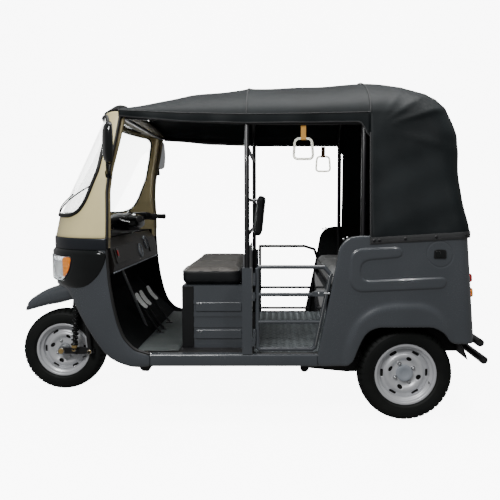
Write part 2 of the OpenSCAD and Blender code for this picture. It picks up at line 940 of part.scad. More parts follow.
module rear_bumper() {
  x_low = xr - rear_over + bumper_r;
  x_up = x_low + 22;
  color("#17181a") {
    bar([x_up, -bumper_half, 426], [x_up, bumper_half, 426], bumper_r, $fn = 40);
    bar([x_low, -bumper_half, 332], [x_low, bumper_half, 332], bumper_r, $fn = 40);
    both()
      side([
        [xr - 300, 352], [xr - 300, 392], [x_up + 14, 418], [x_up, 426], [x_low, 332],
        [x_low + 20, 328]], rail_y + rail_w / 2, rail_y + rail_w / 2 + 10);
  }
}

module tail_lamps() {
  color("#b3261d")
    both()
      wall_frame() {
        box(-14, 0, 500, 585, 272, 322);
        box(-14, 0, 500, 585, 190, 246);
      }
}

module rear_suspension() {
  color("#1a1b1d") {
    both() {
      // Trailing arm from its pivot to the axle.
      difference() {
        side([
          [xr + 556, 256], [xr + 550, 284], [xr + 480, 296], [xr + 34.3, 284], [xr + 34.3, 222],
          [xr + 300, 216], [xr + 540, 240]], 372, 412);
        translate([xr + 538, 360, 265])
          rotate([-90, 0, 0])
            cylinder(r = 10.3, h = 60, $fn = 32);
      }
      translate([xr + 538, rail_y + 20, 265])
        rotate([-90, 0, 0])
          cylinder(r = 10, h = 100, $fn = 32);
      translate([xr + 538, 412.3, 265])
        rotate([-90, 0, 0])
          cylinder(r = 22, h = 10, $fn = 32);
      // Spring and damper.
      translate([xr + 62, 392, 284.6]) {
        cylinder(r = 14, h = 203, $fn = 24);
        cylinder(r = 42, h = 8, $fn = 32);
        translate([0, 0, 195])
          cylinder(r = 42, h = 8, $fn = 32);
        for (i = [0 : 6])
          translate([0, 0, 18 + 26 * i])
            rotate_extrude($fn = 32)
              translate([30, 0])
                circle(r = 7, $fn = 16);
        cylinder(r = 24, h = 200, $fn = 24);
      }
    }
  }
}

module rear_axle() {
  color("#24262a") {
    bar([xr, -wheel_y + 70, tyre_r], [xr, wheel_y - 70, tyre_r], 34, $fn = 40);
    translate([xr, 0, tyre_r])
      sphere(r = 88, $fn = 40);
    both() {
      translate([xr, wheel_y - 78, tyre_r])
        rotate([-90, 0, 0])
          cylinder(r = 104, h = 60, $fn = 48);
      translate([xr, wheel_y - 20, tyre_r])
        rotate([-90, 0, 0])
          cylinder(r = 60, h = 34 - gap, $fn = 40);
    }
  }
}

// Steering.

// Frame of a front shock absorber: z runs up it from the leading link.
SHOCK_LONG = 370;

module shock_frame() {
  base = [xf - 89, fork_half + 8, tyre_r + 26];
  translate(base)
    rotate([0, -atan(28 / 400), 0])
      children();
}

module fork() {
  leg_top = [xf - 145, fork_half, 690];
  pivot = [xf - 182, fork_half, tyre_r];
  color("#16171a") {
    steer_frame() {
      translate([0, 0, crown_w])
        cylinder(r = 22, h = bar_w - crown_w - 12, $fn = 48);
      translate([0, 0, crown_w])
        cylinder(r = 34, h = 31.7, $fn = 40);
      translate([-22, -fork_half - 14, crown_w - 4])
        cube([44, 2 * fork_half + 28, 26]);
    }
    both() {
      bar(leg_top, pivot, 12, $fn = 28);
      // Leading link with its pivot bolt.
      side([
        [xf - 204, tyre_r - 14], [xf - 204, tyre_r + 14], [xf - 120, tyre_r + 24],
        [xf - 60, tyre_r + 22], [xf + 18, tyre_r + 16], [xf + 24, tyre_r],
        [xf + 18, tyre_r - 16], [xf - 120, tyre_r - 20]], 80, 90);
      translate([xf - 182, 76, tyre_r])
        rotate([-90, 0, 0])
          cylinder(r = 9, h = fork_half - 52, $fn = 28);
      translate([xf, 70.3, tyre_r])
        rotate([-90, 0, 0])
          cylinder(r = 17, h = 26, $fn = 6);
      box(xf - 104, xf - 74, 84, fork_half + 14, tyre_r + 12, tyre_r + 20);
      shock_frame() {
        translate([0, 0, -12])
          cylinder(r = 18, h = 12 - gap, $fn = 28);
        translate([0, 0, SHOCK_LONG + gap])
          cylinder(r = 14, h = 34, $fn = 28);
      }
    }
    translate([xf, -90, tyre_r])
      rotate([-90, 0, 0])
        cylinder(r = 10, h = 180, $fn = 40);
  }
}

module front_shocks() {
  color("#8c8f94")
    both()
      shock_frame() {
        cylinder(r = spring_r, h = 10, $fn = 28);
        cylinder(r = spring_r - 8, h = 262, $fn = 24);
        translate([0, 0, 260])
          cylinder(r = spring_r - 3, h = SHOCK_LONG - 260, $fn = 28);
        for (i = [0 : spring_turns - 1])
          translate([0, 0, 22 + 226 * i / (spring_turns - 1)])
            rotate_extrude($fn = 28)
              translate([spring_r - 6, 0])
                circle(r = 5, $fn = 12);
      }
}

module front_mudguard() {
  color("#3f4249")
    steer_frame()
      translate([-14, -40, crown_w - 24])
        cube([28, 80, 20 - gap]);
  color("#3f4249")
    difference() {
      side([
        [xf + 216, 508], [xf + 218, 549], [xf + 180, 590], [xf + 94, 636], [xf - 26, 672],
        [xf - 110, 676], [xf - 170, 640], [xf - 150, 574], [xf - 99, 585], [xf, 560],
        [xf + 110, 540]], -88, 88);
      side([
        [xf + 230, 490], [xf + 212, 546], [xf + 176, 585], [xf + 92, 631], [xf - 27, 667],
        [xf - 108, 671], [xf - 164, 638], [xf - 140, 560], [xf, 500]], -84, 84);
    }
}

module handlebar() {
  top = axis_x - (bar_w) * sin(rake);
  color("#131315") {
    tube([
      [top - 30, 0, grip_z - 8], [top - 70, 120, grip_z + 4], [top - 165, 230, grip_z + 6],
      [top - 262, 368, grip_z]], 11, $fn = 24);
    mirror([0, 1, 0])
      tube([
        [top - 30, 0, grip_z - 8], [top - 70, 120, grip_z + 4],
        [top - 165, 230, grip_z + 6], [top - 262, 368, grip_z]], 11, $fn = 24);
    both()
      bar([top - 182, 254, grip_z + 5], [top - 266, 373, grip_z], 17, $fn = 28);
    difference() {
      side([
        [top + 34, grip_z - 40], [top + 30, grip_z - 2], [top - 10, grip_z + 26],
        [top - 120, grip_z + 36], [top - 205, grip_z + 22], [top - 190, grip_z - 14],
        [top - 100, grip_z - 34], [top - 30, grip_z - 52]], -95, 95);
      steer_frame()
        cylinder(r = 22.2, h = bar_w - 12, $fn = 48);
    }
  }
}

// Gate.

module gate() {
  y = hw - 12;
  xg = xb - 56;
  top = gate_top;
  low = 402;
  back = xb - 357;
  // x of the slanting rear stile at a height
  function stile(z) = back - (z - low) * 83 / 396;
  color("#4a4d54") {
    ring([
      [xg, y, top - 12], [xg - 12, y, top], [stile(798) + 34, y, top],
      [stile(798), y, top - 40], [stile(low + 12), y, low + 12], [stile(low) + 14, y, low],
      [xg - 12, y, low], [xg, y, low + 12]], gate_r, [0, 1, 0], 16);
    for (i = [1 : gate_mid])
      let (z = low + (top - low) * i / (gate_mid + 1))
        rod([xg, y, z], [stile(z), y, z], gate_r - 1, [0, 1, 0]);
    // Eyes that turn on the pins of the pillar.
    for (z = [440, 680]) {
      difference() {
        union() {
          translate([xb - 38, hw + 2, z - 7.7])
            cylinder(r = 8, h = 22.4, $fn = 32);
          translate([xb - 38, hw + 2, z - 7.7])
            rotate([0, 0, 225])
              translate([5.5, -4, 1])
                cube([16.5, 8, 20.4]);
        }
        translate([xb - 38, hw + 2, z - 20])
          cylinder(r = 4.3, h = 60, $fn = 32);
      }
    }
    // Latch on the rear end of the rail.
    let (z = low + (top - low) * gate_mid / (gate_mid + 1))
      box(stile(z) + 14, stile(z) + 74, y + 4, y + 20, z - 6, z + 16);
  }
}

frame();
floor();
front_cowl();
cowl_band();
bulkhead();
screen_surround();
screen_seal();
windscreen();
header();
lamp_pods();
head_lenses();
indicators();
fascia();
pedals();
b_pillars();
partition();
seat_box();
driver_cushion();
driver_backrest();
engine();
roof_frame();
canopy();
rear_body();
rear_lid();
bench_base();
bench_cushion();
bench_backrest();
guard_rail();
hand_grips();
mirrors();
rear_bumper();
tail_lamps();
rear_suspension();
rear_axle();
handlebar();
fork();
front_shocks();
front_mudguard();
front_tyre();
front_rim();
left_tyre();
left_rim();
right_tyre();
right_rim();
gate();
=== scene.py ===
"""Looks of a three-wheeled passenger tricycle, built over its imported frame.

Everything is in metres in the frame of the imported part: +X is forward, +Y is the
vehicle's left, +Z is up, and the origin lies on the ground under its middle.
"""
import json
import logging
import math
from dataclasses import dataclass, field
from enum import Enum
from typing import Callable, Sequence

import bmesh
import bpy
import numpy as np
from mathutils import Matrix, Vector
from mathutils.bvhtree import BVHTree
from mathutils.geometry import delaunay_2d_cdt

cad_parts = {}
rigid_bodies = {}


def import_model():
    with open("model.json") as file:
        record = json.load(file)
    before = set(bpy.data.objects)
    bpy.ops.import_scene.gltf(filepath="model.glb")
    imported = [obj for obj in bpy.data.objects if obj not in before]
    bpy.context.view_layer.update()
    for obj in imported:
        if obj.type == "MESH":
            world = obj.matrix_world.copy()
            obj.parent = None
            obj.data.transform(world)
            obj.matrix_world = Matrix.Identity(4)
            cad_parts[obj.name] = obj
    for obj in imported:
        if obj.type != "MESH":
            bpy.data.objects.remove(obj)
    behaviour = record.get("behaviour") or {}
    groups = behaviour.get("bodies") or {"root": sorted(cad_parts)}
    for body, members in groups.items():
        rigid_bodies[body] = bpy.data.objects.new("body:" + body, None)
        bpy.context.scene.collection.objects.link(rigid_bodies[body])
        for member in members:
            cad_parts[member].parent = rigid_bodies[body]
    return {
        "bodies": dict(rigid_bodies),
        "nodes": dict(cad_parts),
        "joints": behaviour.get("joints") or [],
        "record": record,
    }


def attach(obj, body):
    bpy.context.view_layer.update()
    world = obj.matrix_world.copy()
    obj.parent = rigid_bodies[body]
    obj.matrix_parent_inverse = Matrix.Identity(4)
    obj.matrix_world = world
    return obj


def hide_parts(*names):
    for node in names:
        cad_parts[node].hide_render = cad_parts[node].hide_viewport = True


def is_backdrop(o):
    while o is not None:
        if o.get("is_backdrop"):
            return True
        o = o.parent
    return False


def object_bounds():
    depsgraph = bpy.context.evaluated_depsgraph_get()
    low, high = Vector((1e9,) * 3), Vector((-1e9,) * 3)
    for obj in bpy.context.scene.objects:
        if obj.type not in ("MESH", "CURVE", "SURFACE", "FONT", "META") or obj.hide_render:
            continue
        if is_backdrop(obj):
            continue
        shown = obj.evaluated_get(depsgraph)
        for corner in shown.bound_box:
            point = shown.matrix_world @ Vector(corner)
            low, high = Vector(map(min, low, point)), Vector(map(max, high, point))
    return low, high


LOG = logging.getLogger("tricycle")
Array = np.ndarray
Colour = tuple[float, float, float]
Material = bpy.types.Material
Piece = bpy.types.Object


# Datum: the places that the sub-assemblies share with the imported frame.

FRONT_AXLE = 1.108
REAR_AXLE = -0.922
AXLE_Z = 0.254
DOOR_X = FRONT_AXLE - 0.453
NOSE_X = DOOR_X + 0.425
PILLAR_X = REAR_AXLE + 0.849
POST_X = REAR_AXLE + 0.205
HALF_WIDTH = 0.650
FLOOR_Z = 0.376
RAKE = math.radians(24.0)
STEER_AXIS = (FRONT_AXLE + 0.062, 0.0, AXLE_Z)


# Small numpy tools.

def unit(v: Array) -> Array:
    """Vectors along the last axis, each divided by its length."""
    return v / np.maximum(np.linalg.norm(v, axis=-1, keepdims=True), 1e-12)


def ramp(x: Array) -> Array:
    """Smooth step from 0 to 1: 3t^2 - 2t^3 with t held between 0 and 1."""
    t = np.clip(x, 0.0, 1.0)
    return t * t * (3.0 - 2.0 * t)


def power(v: Array, p: float) -> Array:
    """Signed power: the sign of v times its size to the power p."""
    return np.sign(v) * np.abs(v) ** p


def smooth_curve(points: Sequence[Sequence[float]], steps: int = 8, closed: bool = False) -> Array:
    """Curve through control points by the Catmull-Rom blend of each four neighbours.

    Args:
        points: control points of any dimension.
        steps: samples for each span.
        closed: True joins the last point to the first.

    Returns:
        The sampled curve, one row for each sample.
    """
    p = np.asarray(points, float)
    if closed:
        p = np.vstack([p[-1:], p, p[:2]])
    else:
        p = np.vstack([2 * p[0] - p[1], p, 2 * p[-1] - p[-2]])
    a, b, c, d = (q[:, None, :] for q in (p[:-3], p[1:-2], p[2:-1], p[3:]))
    t = (np.arange(steps) / steps)[None, :, None]
    row = 0.5 * (2 * b + (c - a) * t + (2 * a - 5 * b + 4 * c - d) * t ** 2
                 + (3 * b - a - 3 * c + d) * t ** 3)
    row = row.reshape(-1, p.shape[1])
    return row if closed else np.vstack([row, p[-2]])


def rounded_path(points: Sequence[Sequence[float]], radius: float, steps: int = 7) -> Array:
    """Polyline whose corners are replaced by parabolas.

    Each corner q becomes (1-s)^2 a + 2s(1-s) q + s^2 c, where a and c lie on its two
    sides at the bend's radius, or at 0.48 of the side where that is shorter.

    Args:
        points: corners of the polyline.
        radius: how far from a corner the bend starts.
        steps: samples for each bend.

    Returns:
        The rounded path, one row for each point.
    """
    p = np.asarray(points, float)
    side = p[1:] - p[:-1]
    long = np.linalg.norm(side, axis=1)
    reach = np.minimum(radius, 0.48 * np.minimum(long[:-1], long[1:]))[:, None]
    q, t = p[1:-1], unit(side)
    a, c = q - t[:-1] * reach, q + t[1:] * reach
    s = np.linspace(0, 1, steps)[None, :, None]
    bends = (1 - s) ** 2 * a[:, None] + 2 * s * (1 - s) * q[:, None] + s ** 2 * c[:, None]
    return np.vstack([p[:1], bends.reshape(-1, p.shape[1]), p[-1:]])


def resampled(path: Array, step: float, closed: bool = True) -> Array:
    """The same line with points about one step apart, its own corners kept.

    Args:
        path: points of the line.
        step: longest distance between two neighbours.
        closed: True for a loop.

    Returns:
        The denser line, without a repeated last point.
    """
    ends = np.vstack([path, path[:1]]) if closed else path
    long = np.linalg.norm(np.diff(ends, axis=0), axis=1)
    count = np.maximum(1, np.ceil(long / step).astype(int))
    which = np.repeat(np.arange(len(count)), count)
    share = (np.arange(len(which)) - np.repeat(np.cumsum(count) - count, count)) / count[which]
    out = ends[which] + (ends[which + 1] - ends[which]) * share[:, None]
    return out if closed else np.vstack([out, ends[-1:]])


def edge_distance(points: Array, loop: Array, closed: bool = True) -> Array:
    """Distance of each point to a polyline: the least distance to any of its segments."""
    a = loop
    b = np.roll(loop, -1, axis=0)
    if not closed:
        a, b = a[:-1], b[:-1]
    best = np.full(len(points), 1e9)
    for start in range(0, len(a), 64):
        p, q = a[start:start + 64], b[start:start + 64]
        d = q - p
        t = np.clip(((points[:, None] - p) * d).sum(-1) / np.maximum((d * d).sum(-1), 1e-18), 0, 1)
        near = np.linalg.norm(points[:, None] - (p + t[..., None] * d), axis=-1).min(1)
        best = np.minimum(best, near)
    return best


def inside(points: Array, loop: Array) -> Array:
    """True where a point lies in a closed loop, by counting the edges that a ray crosses."""
    a, b = loop, np.roll(loop, -1, axis=0)
    x, y = points[:, 0][:, None], points[:, 1][:, None]
    spans = (a[:, 1] > y) != (b[:, 1] > y)
    rise = np.where(b[:, 1] == a[:, 1], 1e-12, b[:, 1] - a[:, 1])
    return (spans & (x < (b[:, 0] - a[:, 0]) * (y - a[:, 1]) / rise + a[:, 0])).sum(1) % 2 == 1


def depth_in(points: Array, loop: Array) -> Array:
    """Signed distance to a closed loop, positive inside it."""
    return np.where(inside(points, loop), 1.0, -1.0) * edge_distance(points, loop)


def ellipse(cx: float, cy: float, rx: float, ry: float, count: int = 32, turn: float = 0.0) -> Array:
    """Points of an ellipse round (cx, cy), turned by an angle in radians."""
    a = np.linspace(0, 2 * np.pi, count, endpoint=False)
    x, y = rx * np.cos(a), ry * np.sin(a)
    c, s = math.cos(turn), math.sin(turn)
    return np.column_stack([cx + c * x - s * y, cy + s * x + c * y])


def soft_corners(points: Sequence[Sequence[float]], radius: float, steps: int = 5) -> Array:
    """Closed outline with parabola corners, each at most 0.48 of a side long."""
    p = np.asarray(points, float)
    prev, nxt = np.roll(p, 1, axis=0), np.roll(p, -1, axis=0)
    r0 = np.minimum(radius, 0.48 * np.linalg.norm(p - prev, axis=1))[:, None]
    r1 = np.minimum(radius, 0.48 * np.linalg.norm(nxt - p, axis=1))[:, None]
    a, c = p - unit(p - prev) * r0, p + unit(nxt - p) * r1
    s = np.linspace(0, 1, steps)[None, :, None]
    out = (1 - s) ** 2 * a[:, None] + 2 * s * (1 - s) * p[:, None] + s ** 2 * c[:, None]
    return out.reshape(-1, p.shape[1])


# Shapes: arrays that become meshes.

@dataclass
class Shape:
    """Vertices, faces and UVs of one surface, in metres."""

    verts: Array
    faces: list[Array] = field(default_factory=list)
    uv: Array | None = None

    def turned(self) -> "Shape":
        """The same surface with its faces looking the other way."""
        return Shape(self.verts, [f[:, ::-1] for f in self.faces], self.uv)

    def mirrored(self) -> "Shape":
        """The surface on the other side of the vehicle."""
        return Shape(self.verts * [1, -1, 1], [f[:, ::-1] for f in self.faces], self.uv)

    def moved(self, matrix: Matrix) -> "Shape":
        """The surface carried by a 4x4 matrix."""
        m = np.array(matrix, float)
        return Shape(self.verts @ m[:3, :3].T + m[:3, 3], self.faces, self.uv)

    @staticmethod
    def join(shapes: Sequence["Shape"]) -> "Shape":
        """Several surfaces as one, with their vertices numbered on."""
        starts = np.cumsum([0] + [len(s.verts) for s in shapes[:-1]])
        faces = [f + k for s, k in zip(shapes, starts) for f in s.faces]
        uv = np.vstack([s.uv if s.uv is not None else np.zeros((len(s.verts), 2)) for s in shapes])
        return Shape(np.vstack([s.verts for s in shapes]), faces, uv)


def grid(points: Array, wrap_u: bool = False, wrap_v: bool = False) -> Shape:
    """Quads over a grid of points; a face looks along (step in u) x (step in v).

    Args:
        points: array (m, n, 3) of the surface at its two parameters.
        wrap_u: True joins the last row to the first.
        wrap_v: True joins the last column to the first.

    Returns:
        The surface, with UVs in metres along the middle row and column.
    """
    m, n = points.shape[:2]
    i = np.arange(m if wrap_u else m - 1)[:, None]
    j = np.arange(n if wrap_v else n - 1)[None, :]
    i2, j2 = (i + 1) % m, (j + 1) % n
    quads = np.stack(np.broadcast_arrays(i * n + j, i2 * n + j, i2 * n + j2, i * n + j2), -1)
    along = np.linalg.norm(np.diff(points[:, n // 2], axis=0), axis=1)
    across = np.linalg.norm(np.diff(points[m // 2], axis=0), axis=1)
    u = np.concatenate([[0], np.cumsum(along)])
    v = np.concatenate([[0], np.cumsum(across)])
    uv = np.stack(np.meshgrid(u, v, indexing="ij"), -1).reshape(-1, 2)
    return Shape(points.reshape(-1, 3), [quads.reshape(-1, 4)], uv)


def tube(path: Array, radius: float | Array, sides: int = 14, closed: bool = False,
         up: Sequence[float] | None = None) -> Shape:
    """Round section carried along a path: path + r (n cos a - b sin a).

    n and b are across the path, b along (tangent x up), so the frame never twists.

    Args:
        path: points of the centreline.
        radius: one radius, or one for each point.
        sides: faces round the section.
        closed: True for a ring, which has no end caps.
        up: a direction that the path never runs along; chosen where it isn't given.

    Returns:
        The closed tube.
    """
    path = np.asarray(path, float)
    if closed:
        t = unit(np.roll(path, -1, axis=0) - np.roll(path, 1, axis=0))
    else:
        t = unit(np.gradient(path, axis=0))
    if up is None:
        up = np.eye(3)[np.abs(t).max(0).argmin()]
    b = unit(np.cross(t, np.asarray(up, float)))
    n = np.cross(b, t)
    a = 2 * np.pi * np.arange(sides) / sides
    r = np.broadcast_to(np.asarray(radius, float), len(path))[:, None, None]
    ring = path[:, None] + r * (np.cos(a)[:, None] * n[:, None] - np.sin(a)[:, None] * b[:, None])
    shape = grid(ring, wrap_u=closed, wrap_v=True)
    if not closed:
        first = np.arange(sides)[None, :]
        shape.faces += [first, (first + (len(path) - 1) * sides)[:, ::-1]]
    return shape


def lathe(profile: Sequence[Sequence[float]], centre: Sequence[float], axis: Sequence[float],
          steps: int = 48, closed: bool = False) -> Shape:
    """Profile of (radius, height) turned round an axis: c + r (e cos a + f sin a) + h k.

    Args:
        profile: rows of radius and height along the axis; heights rise on the outer side.
        centre: where height is zero.
        axis: direction of the axis.
        steps: faces round the axis.
        closed: True where the profile is a loop.

    Returns:
        The turned surface, its poles closed where the radius is zero.
    """
    p = np.asarray(profile, float)
    k = unit(np.asarray(axis, float))
    e = unit(np.cross(k, np.eye(3)[np.abs(k).argmin()]))
    f = np.cross(k, e)
    a = 2 * np.pi * np.arange(steps) / steps
    spoke = np.cos(a)[:, None] * e + np.sin(a)[:, None] * f
    points = np.asarray(centre, float) + spoke[:, None] * p[None, :, :1] + p[None, :, 1:] * k
    return grid(points, wrap_u=True, wrap_v=closed)


def prism(outline: Array, origin: Sequence[float], ex: Sequence[float], ey: Sequence[float],
          depth: float) -> Shape:
    """Flat outline carried along its own normal: o + x ex + y ey + d (ex x ey).

    Args:
        outline: closed loop of (x, y).
        origin: where (0, 0) lies.
        ex: direction of x.
        ey: direction of y.
        depth: thickness along ex x ey.

    Returns:
        The closed solid; its normals are worked out when it is welded.
    """
    ex, ey = unit(np.asarray(ex, float)), unit(np.asarray(ey, float))
    low = np.asarray(origin, float) + outline[:, :1] * ex + outline[:, 1:2] * ey
    n = len(outline)
    shape = grid(np.stack([low, low + depth * np.cross(ex, ey)]), wrap_v=True)
    shape.faces += [np.arange(n)[None, ::-1], np.arange(n)[None, :] + n]
    return shape


def side_prism(outline: Sequence[Sequence[float]], y0: float, y1: float) -> Shape:
    """Outline in (x, z) of the side view, from one y to another."""
    return prism(np.asarray(outline, float), (0, y1, 0), (1, 0, 0), (0, 0, 1), y1 - y0)


def block(lo: Sequence[float], hi: Sequence[float]) -> Shape:
    """Box between two corners."""
    x0, y0, z0 = lo
    x1, y1, z1 = hi
    return side_prism([(x0, z0), (x1, z0), (x1, z1), (x0, z1)], y0, y1)


def hexagon(radius: float) -> Array:
    """Outline of a hexagon nut of that outer radius."""
    return ellipse(0, 0, radius, radius, 6)


@dataclass
class Trimmed:
    """A lattice of points cut to an outline with holes, and its triangles."""

    points: Array
    faces: Array
    edge: Array

    def shape(self, place: Callable[[Array], Array]) -> Shape:
        """The surface at place(points), with the flat points as its UVs."""
        return Shape(place(self.points), [self.faces], self.points.copy())


def trimmed(outline: Array, holes: Sequence[Array] = (), step: float = 0.01,
            rings: Sequence[float] = (), creases: Sequence[Array] = (),
            open_edge: Callable[[Array], Array] | None = None) -> Trimmed:
    """Fills an outline with a staggered lattice, joined by Delaunay triangles.

    Rows of points at the given distances from the rim let it be rolled over, and
    points on creases let a pressed rib start sharply.

    Args:
        outline: closed loop in two parameters.
        holes: closed loops left open.
        step: distance of the lattice.
        rings: distances from the rim of the extra rows.
        creases: closed loops that get rows of points along them.
        open_edge: True for rim points that are no real edge, such as a line of symmetry.

    Returns:
        Points, triangles and each point's distance from a real edge.
    """
    loops = [resampled(np.asarray(loop, float), step) for loop in (outline, *holes)]
    bound = np.vstack(loops)
    lo, hi = bound.min(0), bound.max(0)
    x = np.arange(lo[0], hi[0], step)
    z = np.arange(lo[1], hi[1], step * 0.87)
    lattice = np.stack(np.meshgrid(x, z, indexing="ij"), -1)
    lattice[:, 1::2, 0] += step / 2
    extra = [lattice.reshape(-1, 2)]
    clear = [0.55 * step if not rings else max(rings) + 0.45 * step]
    for crease in creases:
        line = resampled(np.asarray(crease, float), step * 0.8)
        t = unit(np.roll(line, -1, axis=0) - np.roll(line, 1, axis=0))
        side = np.column_stack([t[:, 1], -t[:, 0]])
        for offset in (-0.0045, -0.0015, 0.0015, 0.0045, 0.008, -0.008):
            extra.append(line + side * offset)
            clear.append(0.004)
    for ring in rings:
        for line in loops:
            t = unit(np.roll(line, -1, axis=0) - np.roll(line, 1, axis=0))
            side = np.column_stack([t[:, 1], -t[:, 0]])
            extra += [line + side * ring, line - side * ring]
            clear += [ring * 0.93, ring * 0.93]
    rim = np.vstack(loops)

    def gap(points: Array) -> Array:
        """Distance to the nearest rim, below zero outside the sheet."""
        near = np.min([edge_distance(points, line) for line in loops], axis=0)
        good = inside(points, loops[0])
        for line in loops[1:]:
            good &= ~inside(points, line)
        return np.where(good, near, -near)

    kept = [points[gap(points) > c] for points, c in zip(extra, clear)]
    if creases:
        near = np.min([edge_distance(kept[0], np.asarray(c, float)) for c in creases], axis=0)
        kept[0] = kept[0][near > 0.011]
    points = np.vstack([rim, *kept])
    starts = np.cumsum([0] + [len(line) for line in loops])
    edges = np.vstack([
        np.column_stack([np.arange(a, b), np.roll(np.arange(a, b), -1)])
        for a, b in zip(starts[:-1], starts[1:])])
    found = delaunay_2d_cdt(points.tolist(), edges.tolist(), [], 0, 1e-7, False)
    out = np.array([tuple(v) for v in found[0]], float)
    faces = np.array(found[2], int)
    middle = out[faces].mean(1)
    good = inside(middle, loops[0])
    for line in loops[1:]:
        good &= ~inside(middle, line)
    a, b, c = (out[faces[:, k]] for k in range(3))
    area = (b[:, 0] - a[:, 0]) * (c[:, 1] - a[:, 1]) - (b[:, 1] - a[:, 1]) * (c[:, 0] - a[:, 0])
    faces = faces[good & (np.abs(area) > 1e-12)]
    faces = np.where(area[good & (np.abs(area) > 1e-12)][:, None] > 0, faces, faces[:, ::-1])
    real = [line for line in loops]
    if open_edge is None:
        edge = np.min([edge_distance(out, line) for line in real], axis=0)
    else:
        edge = np.full(len(out), 1e9)
        for line in real:
            nxt = np.roll(line, -1, axis=0)
            keep = ~(open_edge(line) & open_edge(nxt))
            for p, q in ((line[keep], nxt[keep]),):
                d = q - p
                rel = out[:, None] - p
                t = np.clip((rel * d).sum(-1) / np.maximum((d * d).sum(-1), 1e-18), 0, 1)
                edge = np.minimum(edge, np.linalg.norm(rel - t[..., None] * d, axis=-1).min(1))
    return Trimmed(out, faces, edge)


def rolled(distance: Array, radius: float) -> Array:
    """How far a rim has turned in at a distance from it: r (1 - sqrt(1 - (1 - d/r)^2))."""
    t = np.clip(1.0 - distance / radius, 0.0, 1.0)
    return radius * (1.0 - np.sqrt(np.maximum(0.0, 1.0 - t * t)))


def make(name: str, parts: Sequence[tuple[Shape, Material]], body: str, *,
         replaces: Sequence[str] = (), shell: bool = False, sharp: float = 38.0,
         thick: float = 0.0, bevel: float = 0.0, subdiv: int = 0, weld: float = 1e-5) -> Piece:
    """Turns shapes into one finished object that rides on a body.

    Args:
        name: name of the piece.
        parts: each surface with its material.
        body: the body it moves with.
        replaces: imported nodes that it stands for.
        shell: True for closed shapes, whose normals are then worked out.
        sharp: edges above this angle in degrees stay sharp.
        thick: wall added behind the surface.
        bevel: width of the bevel on sharp edges.
        subdiv: levels of subdivision.
        weld: distance under which vertices merge.

    Returns:
        The object, at the origin.
    """
    whole = Shape.join([shape for shape, _ in parts])
    counts = [sum(len(f) for f in shape.faces) for shape, _ in parts]
    mesh = bpy.data.meshes.new(name)
    corners = np.concatenate([f.ravel() for f in whole.faces]).astype(np.int32)
    sizes = np.concatenate([np.full(len(f), f.shape[1]) for f in whole.faces]).astype(np.int32)
    mesh.vertices.add(len(whole.verts))
    mesh.vertices.foreach_set("co", whole.verts.astype(np.float32).ravel())
    mesh.loops.add(len(corners))
    mesh.loops.foreach_set("vertex_index", corners)
    mesh.polygons.add(len(sizes))
    mesh.polygons.foreach_set("loop_start", (np.cumsum(sizes) - sizes).astype(np.int32))
    mesh.polygons.foreach_set("loop_total", sizes)
    finishes = list(dict.fromkeys(material for _, material in parts))
    index = np.repeat([finishes.index(material) for _, material in parts], counts)
    mesh.polygons.foreach_set("material_index", index.astype(np.int32))
    for material in finishes:
        mesh.materials.append(material)
    layer = mesh.uv_layers.new(name="UVMap")
    layer.data.foreach_set("uv", whole.uv[corners].astype(np.float32).ravel())
    mesh.update(calc_edges=True)
    mesh.validate()
    work = bmesh.new()
    work.from_mesh(mesh)
    bmesh.ops.remove_doubles(work, verts=work.verts, dist=weld)
    if shell:
        bmesh.ops.recalc_face_normals(work, faces=work.faces)
    work.to_mesh(mesh)
    work.free()
    mesh.polygons.foreach_set("use_smooth", np.ones(len(mesh.polygons), bool))
    mesh.set_sharp_from_angle(angle=math.radians(sharp))
    obj = bpy.data.objects.new(name, mesh)
    bpy.context.scene.collection.objects.link(obj)
    if thick:
        wall = obj.modifiers.new("wall", "SOLIDIFY")
        wall.thickness = thick
        wall.offset = -1.0
    if bevel:
        edge = obj.modifiers.new("edge", "BEVEL")
        edge.width = bevel
        edge.segments = 2
        edge.limit_method = "ANGLE"
        edge.angle_limit = math.radians(30)
        edge.use_clamp_overlap = True
        shade = obj.modifiers.new("shade", "WEIGHTED_NORMAL")
        shade.keep_sharp = True
    if subdiv:
        fine = obj.modifiers.new("fine", "SUBSURF")
        fine.levels = subdiv
        fine.render_levels = subdiv
    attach(obj, body)
    if replaces:
        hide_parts(*replaces)
    LOG.info("piece %s: %d faces on %s", name, len(mesh.polygons), body)
    return obj


# Shader effects, each one node group with named inputs and outputs.

